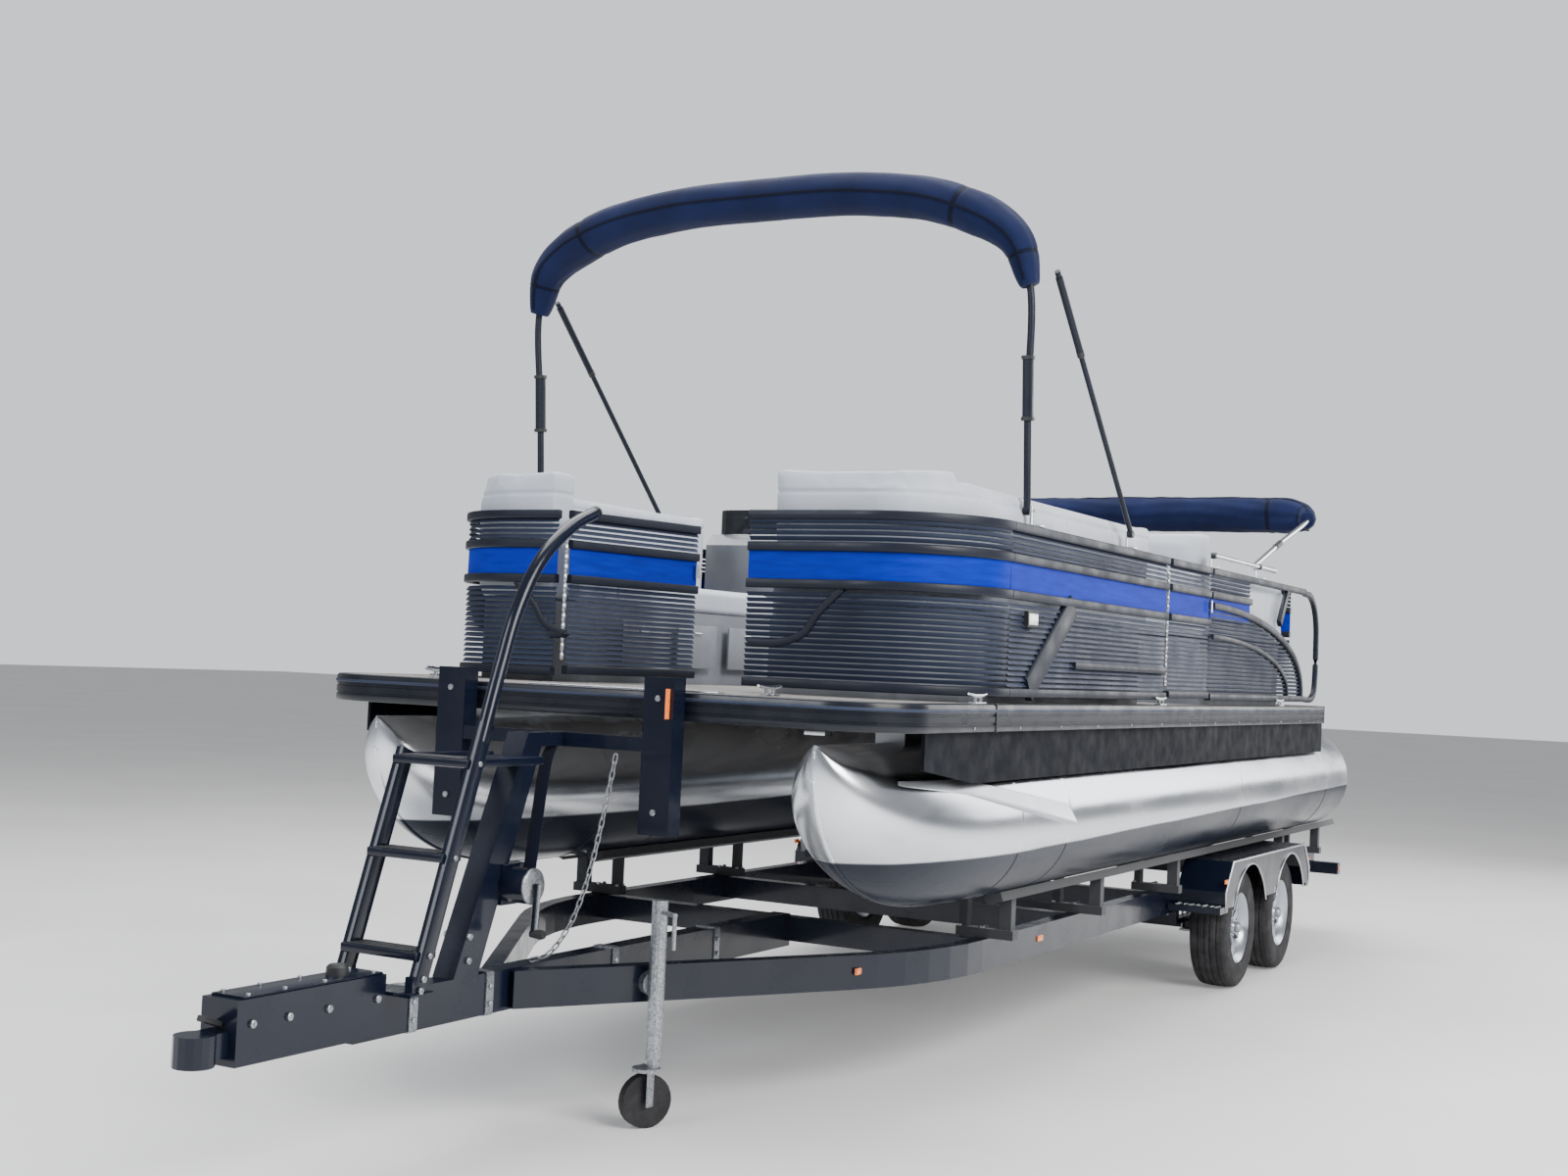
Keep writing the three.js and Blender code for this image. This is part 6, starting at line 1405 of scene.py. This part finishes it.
class PONTOON_OT_wheels(Maker, bpy.types.Operator):
    """Makes the four tyres with their tread, the silver rims, hubs and wheel nuts"""
    bl_idname = "pontoon.wheels"
    bl_label = "Wheels"

    def make(self, trim):
        blocks = trim.tread_blocks
        for side, sign in SIDES:
            for end, x in zip(("front", "rear"), AXLES):
                self.wheel(f"{end}_wheel_{side}", at(x, sign * TRACK, WHEEL_R), sign, blocks)

    def wheel(self, name, centre, sign, blocks):
        out = np.array([0.0, sign, 0.0])

        def tread(turn, profile):
            r, w = profile[..., 0], profile[..., 1]
            wave = np.sign(np.sin(blocks * turn + 9.0 * np.abs(w) / TYRE_HALF))
            shoulder = (r > WHEEL_R - 0.02) & (np.abs(w) > 0.045)
            rib = (r > WHEEL_R - 0.012) & (np.abs(w) <= 0.045)
            return np.where(shoulder, -0.0028 * (wave < 0), 0) + np.where(rib, -0.0012 * (wave > 0), 0)

        crown = []
        for w in np.linspace(0.083, -0.083, 34):
            groove = any(abs(w - g) < 0.0045 for g in (-0.05, -0.017, 0.017, 0.05))
            crown.append((WHEEL_R - 0.0075 * abs(w / 0.083) ** 2.5 - (0.007 if groove else 0), w))
        wall = [(0.188, 0.088), (0.196, 0.0975), (0.206, 0.0995), (0.214, 0.0985), (0.232, 0.1015),
                (0.262, 0.1024), (0.288, 0.1000), (0.3045, 0.0955), (0.314, 0.0895)]
        tyre = wall + crown + [(r, -w) for r, w in wall[::-1]] + [(0.18, -0.08), (0.178, 0.08),
                                                                  (0.188, 0.088)]
        barrel = [(0.176, 0.082), (0.188, 0.092), (0.195, 0.0905), (0.19, 0.084), (0.176, 0.074),
                  (0.166, 0.04),
                  (0.152, 0.02), (0.150, -0.07), (0.178, -0.082), (0.172, -0.09), (0.146, -0.074),
                  (0.144, 0.03), (0.160, 0.066), (0.176, 0.082)]
        hub = [(0, 0.072), (0.026, 0.072), (0.031, 0.066), (0.034, 0.05), (0.056, 0.048), (0.06, 0.036),
               (0.06, 0.01), (0, 0.009)]
        drum = [(0, 0.02), (0.118, 0.018), (0.128, 0.006), (0.128, -0.05), (0, -0.052)]
        parts = [(turned(tyre, centre, out, 216, tread), 0, "turned"),
                 (turned(barrel, centre, out, 72), 1, "turned"),
                 (turned(hub, centre, out, 40), 1, "turned"),
                 (turned(drum, centre, out, 40), 2, "turned")]
        share = np.linspace(0, 1, 9)
        for k in range(6):
            turn = 2 * np.pi * k / 6 + 0.3
            ray = np.array([math.cos(turn), 0.0, math.sin(turn)])
            for skew in (-0.16, 0.16):
                tip = np.array([math.cos(turn + skew), 0.0, math.sin(turn + skew)])
                spoke = (centre + 0.045 * ray * (1 - share)[:, None] + 0.168 * tip * share[:, None]
                         + out * (0.038 + 0.012 * np.sin(np.pi * share) + 0.006 * share)[:, None])
                parts.append((sweep(spoke, rounded(0.024, 0.014, 0.004), out, 1.1 - 0.25 * share), 1))
        for k in range(5):
            turn = 2 * np.pi * k / 5
            spot = centre + 0.045 * np.array([math.cos(turn), 0, math.sin(turn)]) + out * 0.047
            parts.append((head(spot, out, 0.0085, 0.018), 3))
        build(f"{name}_tyre_and_rim", parts, [F["tyre"], F["rim"], F["grey"], F["steel"]], body=name,
              replaces=[name], crease=35)


# ---------------------------------------------------------------- trailer
CROSS_BEAMS = (-0.88, 0.06, 2.25, 3.45, 4.56)
LAMP_Z, COUPLER_TOP = 0.443, 0.632


def strap(x, low, high, half):
    """A clamp band round a square tube at x, from its low to its high face."""
    z = (low + high) / 2
    ring = rounded(2 * half, high - low, 0.008)
    grid = np.array([np.column_stack([np.full(len(ring), x + dx - SHIFT), ring[:, 0], z + ring[:, 1]])
                     for dx in (-0.02, 0.02)])
    return (grid, 0)


class PONTOON_OT_trailer(Maker, bpy.types.Operator):
    """Gives the trailer its lamps, reflectors, straps, bolts, fender beads and tread plates"""
    bl_idname = "pontoon.trailer"
    bl_label = "Trailer"

    def make(self, trim):
        coat("trailer", "trailer_frame", "trailer_axles", "fender_port", "fender_starboard", "coupler",
             "winch_stand")
        coat("carpet", "trailer_bunks_port", "trailer_bunks_starboard")
        coat("zinc", "tongue_jack")
        coat("pad", "jack_wheel")
        lamps = []
        for sign in (1, -1):
            for y, look in ((1.02, 0), (0.90, 1)):
                spot = at(-1.2405, sign * y, LAMP_Z)
                lamps.append((bar(spot - [0.003, 0, 0], spot + [0.0025, 0, 0], 0.1, 0.05, 0.01), 3))
                lamps.append((bar(spot - [0.0065, 0, 0], spot - [0.002, 0, 0], 0.09, 0.042, 0.009), look))
            side = at(-1.205, sign * 1.1605, LAMP_Z)
            lamps.append((bar(side - [0, 0.002, 0], side + [0, 0.002, 0], 0.04, 0.03, 0.006), 0))
            for fx, look in ((2.035, 1), (0.222, 0)):
                spot = at(fx, sign * 1.2835, 0.62)
                lamps.append((bar(spot - [0.025, 0, 0], spot + [0.025, 0, 0], 0.008, 0.022, 0.003), look))
            for fx in (4.0, 5.4):
                y = 0.962 + 0.034 if fx < 4.7 else 0.042 + (6.6 - fx) * math.tan(math.radians(31)) + 0.036
                spot = at(fx, sign * y, 0.50)
                lamps.append((bar(spot - [0.03, 0, 0], spot + [0.03, 0, 0], 0.01, 0.026, 0.004), 1))
        plate = at(-1.2415, -0.6, LAMP_Z)
        lamps.append((bar(plate - [0.001, 0, 0], plate + [0.001, 0, 0], 0.3, 0.07, 0.004), 2))
        build("trailer_lamps", lamps, [F["red"], F["amber"], F["gauge"], F["dark"]],
              crease=40)
        metalwork = []
        for x in (5.2, 5.95, 6.72, 7.12):
            metalwork.append(strap(x, 0.419, 0.570, 0.047))
            for sign in (1, -1):
                for z in (0.52, 0.46):
                    metalwork.append((head(at(x, sign * 0.047, z), (0, sign, 0), 0.011, 0.009), 0))
        for x in CROSS_BEAMS:
            for sign in (1, -1):
                for dx in (-0.022, 0.022):
                    for y in (0.9615, 0.86):
                        metalwork.append((head(at(x + dx, sign * y, 0.6), (0, 0, 1), 0.010, 0.009), 0))
        for axle in AXLES:
            for sign in (1, -1):
                rod_y = sign * 0.956
                for x in (axle - 0.045, axle + 0.045):
                    for y in (rod_y - 0.034, rod_y + 0.034):
                        metalwork.append((pin(at(x, y, 0.29), at(x, y, 0.40), 0.006), 0))
                metalwork.append((bar(at(axle - 0.06, rod_y, 0.2905), at(axle + 0.06, rod_y, 0.2905), 0.09,
                                      0.012,
                                      0.003), 0))
                metalwork.append((turned([(0, 0.026), (0.024, 0.026), (0.03, 0.018), (0.03, 0), (0, -0.001)],
                                         at(axle, sign * 1.208, WHEEL_R), (0, sign, 0), 24), 0, "turned"))
        metalwork.append((bar(at(7.30, 0, COUPLER_TOP + 0.003), at(7.90, 0, COUPLER_TOP + 0.003), 0.128,
                              0.008,
                              0.003), 1))
        metalwork.append((turned([(0, 0.035), (0.026, 0.034), (0.034, 0.026), (0.036, 0), (0, -0.001)],
                                 at(7.44, 0.0, COUPLER_TOP + 0.007), (0, 0, 1), 28), 2, "turned"))
        for bx in (7.33, 7.55, 7.72, 7.87):
            for sign in (1, -1):
                metalwork.append((head(at(bx, sign * 0.0705, 0.56), (0, sign, 0), 0.013, 0.01), 0))
                metalwork.append((head(at(bx, sign * 0.05, COUPLER_TOP + 0.007), (0, 0, 1), 0.008, 0.006),
                                  0))
        metalwork.append((bar(at(7.92, 0, 0.556), at(8.0, 0, 0.585), 0.03, 0.018, 0.004), 2))
        build("trailer_fittings", metalwork, [F["zinc"], F["trailer"], F["dark"]], crease=40)
        beads = []
        x0, x1, lip, top = 0.2095, 2.0485, 0.455, 0.716
        outline = [(x0, lip), (x0, lip + 0.11), (x0 + 0.13, top), (x1 - 0.13, top), (x1, lip + 0.11),
                   (x1, lip)]
        for sign in (1, -1):
            y = sign * 1.2855
            beads.append((sweep(line(*[(px, y, pz) for px, pz in outline]), rounded(0.012, 0.012, 0.004)),
                          0))
            for axle in AXLES:
                opening = [(axle + 0.354 * math.cos(t), y, WHEEL_R + 0.354 * math.sin(t))
                           for t in np.radians(np.linspace(22, 158, 36))]
                beads.append((sweep(line(*opening), rounded(0.010, 0.008, 0.003)), 0))
            step = at(2.085, sign * 1.15, 0.4905)
            for k in range(7):
                for j in range(5):
                    spot = step + [-0.03 + 0.015 * j, -0.105 + 0.035 * k, 0]
                    slant = 0.006 if (j + k) % 2 else -0.006
                    beads.append((bar(spot - [0.006, slant, 0], spot + [0.006, slant, 0], 0.004, 0.003,
                                      0.001), 0))
        build("fender_beads", beads, [F["steel"]], crease=40)


class PONTOON_OT_winch(Maker, bpy.types.Operator):
    """Gives the winch stand its pads, strap, drum and reflector"""
    bl_idname = "pontoon.winch"
    bl_label = "Winch stand"

    def make(self, trim):
        parts = []
        for y in (-0.485, 0.43):
            parts.append((bar(at(6.2632, y, 1.06), at(6.2632, y, 1.58), 0.1, 0.006, 0.002, up=(1, 0, 0)), 0))
            for z in (1.12, 1.52):
                parts.append((head(at(6.3425, y, z), (1, 0, 0), 0.012, 0.009), 1))
        parts.append((bar(at(6.3425, 0.475, 1.45), at(6.3425, 0.475, 1.555), 0.004, 0.05, 0.002,
                          up=(1, 0, 0)), 2))
        for z in (0.62, 0.70):
            for y in (0.0455, -0.0455):
                parts.append((head(at(6.85, y, z), (0, np.sign(y), 0), 0.013, 0.01), 1))
        parts.append((turned([(0, 0.004), (0.058, 0.004), (0.063, 0.0), (0.063, -0.006), (0, -0.006)],
                             at(6.64, 0.15, 0.86), (0, 1, 0), 40), 1, "turned"))
        parts.append((turned([(0, 0.075), (0.034, 0.072), (0.038, 0.05), (0.038, 0.02), (0.034, 0.0),
                              (0, -0.001)],
                             at(6.64, 0.045, 0.86), (0, 1, 0), 32), 3, "turned"))
        web = spline(line((6.60, 0.095, 0.87), (6.52, 0.06, 1.06), (6.42, 0.02, 1.28), (6.352, 0.0, 1.345)),
                     40)
        parts.append((sweep(web, rounded(0.05, 0.003, 0.001), (1, 0, 1)), 3))
        grip = turned([(0, 0.012), (0.013, 0.010), (0.017, 0), (0.013, -0.045), (0, -0.047)],
                      at(6.65, 0.20, 0.702),
                      (0, 1, 0), 20)
        parts.append((grip, 0, "turned"))
        parts.append((bar(at(6.64, 0.166, 0.87), at(6.65, 0.166, 0.70), 0.026, 0.012, 0.003, up=(1, 0, 0)),
                      1))
        build("winch_fittings", parts, [F["pad"], F["zinc"], F["amber"], F["webbing"]],
              crease=40)


LADDER_FOOT_X, LADDER_FOOT_Z, LADDER_LEAN = 7.25, 0.565, 0.345


class PONTOON_OT_ladder(Maker, bpy.types.Operator):
    """Makes the boarding ladder: stringers, treads, brackets and the curved handrail"""
    bl_idname = "pontoon.ladder"
    bl_label = "Boarding ladder"

    def make(self, trim):
        def lean(z):
            return LADDER_FOOT_X - (z - LADDER_FOOT_Z) * LADDER_LEAN

        parts = [(bar(at(7.18, 0, 0.572), at(7.29, 0, 0.572), 0.34, 0.012, 0.003), 0)]
        for y, top in ((-0.15, 1.32), (0.15, 1.42)):
            parts.append((bar(at(lean(0.595), y, 0.595), at(lean(top), y, top), 0.034, 0.062, 0.006,
                              up=(1, 0, LADDER_LEAN)), 0))
            parts.append((bar(at(lean(0.6) - 0.04, y, 0.6), at(lean(0.6) + 0.04, y, 0.6), 0.03, 0.06,
                              0.004), 0))
            parts.append((head(at(lean(0.62), y + math.copysign(0.0175, y), 0.62), (0, y, 0), 0.012, 0.009),
                          1))
            parts.append((head(at(lean(0.585), y + math.copysign(0.0175, y), 0.585), (0, y, 0), 0.012,
                               0.009), 1))
        for z in (0.69, 0.99, 1.29):
            x = lean(z)
            parts.append((bar(at(x, -0.154, z), at(x, 0.154, z), 0.1, 0.028, 0.006, up=(0, 0, 1)), 0))
            for k in range(4):
                ridge = x - 0.036 + 0.024 * k
                parts.append((bar(at(ridge, -0.13, z + 0.0155), at(ridge, 0.13, z + 0.0155), 0.012, 0.004,
                                  0.001), 2))
            for y in (-0.168, 0.168):
                parts.append((head(at(x, y, z), (0, y, 0), 0.010, 0.008), 1))
        rail = spline(line((lean(1.36), 0.15, 1.36), (lean(1.6), 0.15, 1.6), (lean(1.8) - 0.01, 0.15, 1.8),
                           (lean(1.98) - 0.07, 0.15, 1.98), (lean(2.11) - 0.2, 0.15, 2.11),
                           (lean(2.11) - 0.34, 0.15, 2.17)), 60)
        parts.append((sweep(rail, circle(0.024, 28), (0, 1, 0)), 0))
        tip = rail[-1]
        parts.append((turned([(0, 0.022), (0.014, 0.019), (0.0225, 0.009), (0.024, 0), (0.024, -0.02),
                              (0, -0.021)],
                             tip, rail[-1] - rail[-2], 28), 2, "turned"))
        parts.append((bar(at(lean(1.29), -0.15, 1.29), at(6.60, -0.09, 1.29), 0.024, 0.04, 0.005), 0))
        parts.append((bar(at(6.618, 0.065, 1.29), at(lean(1.29) + 0.02, 0.065, 1.29), 0.17, 0.028, 0.005),
                      0))
        build("boarding_ladder_frame", parts, [F["trailer"], F["zinc"], F["dark"]],
              replaces=["boarding_ladder"], crease=40)


# ---------------------------------------------------------------- add-on
class PONTOON_PT_panel(bpy.types.Panel):
    """Lists the settings and the makers"""
    bl_label = "Pontoon boat"
    bl_idname = "PONTOON_PT_panel"
    bl_space_type = "VIEW_3D"
    bl_region_type = "UI"
    bl_category = "Pontoon"

    def draw(self, context):
        for group in (context.scene.pontoon_look, context.scene.pontoon_trim):
            for name in group.__annotations__:
                self.layout.prop(group, name)
        for maker in MAKERS:
            self.layout.operator(maker.bl_idname)


MAKERS = (
    PONTOON_OT_stage, PONTOON_OT_chain, PONTOON_OT_pontoons, PONTOON_OT_deck, PONTOON_OT_fences,
    PONTOON_OT_gates, PONTOON_OT_seats, PONTOON_OT_helm, PONTOON_OT_biminis, PONTOON_OT_outboard,
    PONTOON_OT_wheels, PONTOON_OT_trailer, PONTOON_OT_winch, PONTOON_OT_ladder,
)
CLASSES = (PontoonLook, PontoonTrim, *MAKERS, PONTOON_PT_panel)


def register():
    for cls in CLASSES:
        bpy.utils.register_class(cls)
    bpy.types.Scene.pontoon_look = PointerProperty(type=PontoonLook)
    bpy.types.Scene.pontoon_trim = PointerProperty(type=PontoonTrim)


def unregister():
    del bpy.types.Scene.pontoon_trim
    del bpy.types.Scene.pontoon_look
    for cls in reversed(CLASSES):
        bpy.utils.unregister_class(cls)


def main():
    """Registers the add-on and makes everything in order."""
    register()
    mix_finishes(bpy.context.scene.pontoon_look)
    for maker in MAKERS:
        group, name = maker.bl_idname.split(".")
        getattr(getattr(bpy.ops, group), name)()


if __name__ == "__main__":
    main()
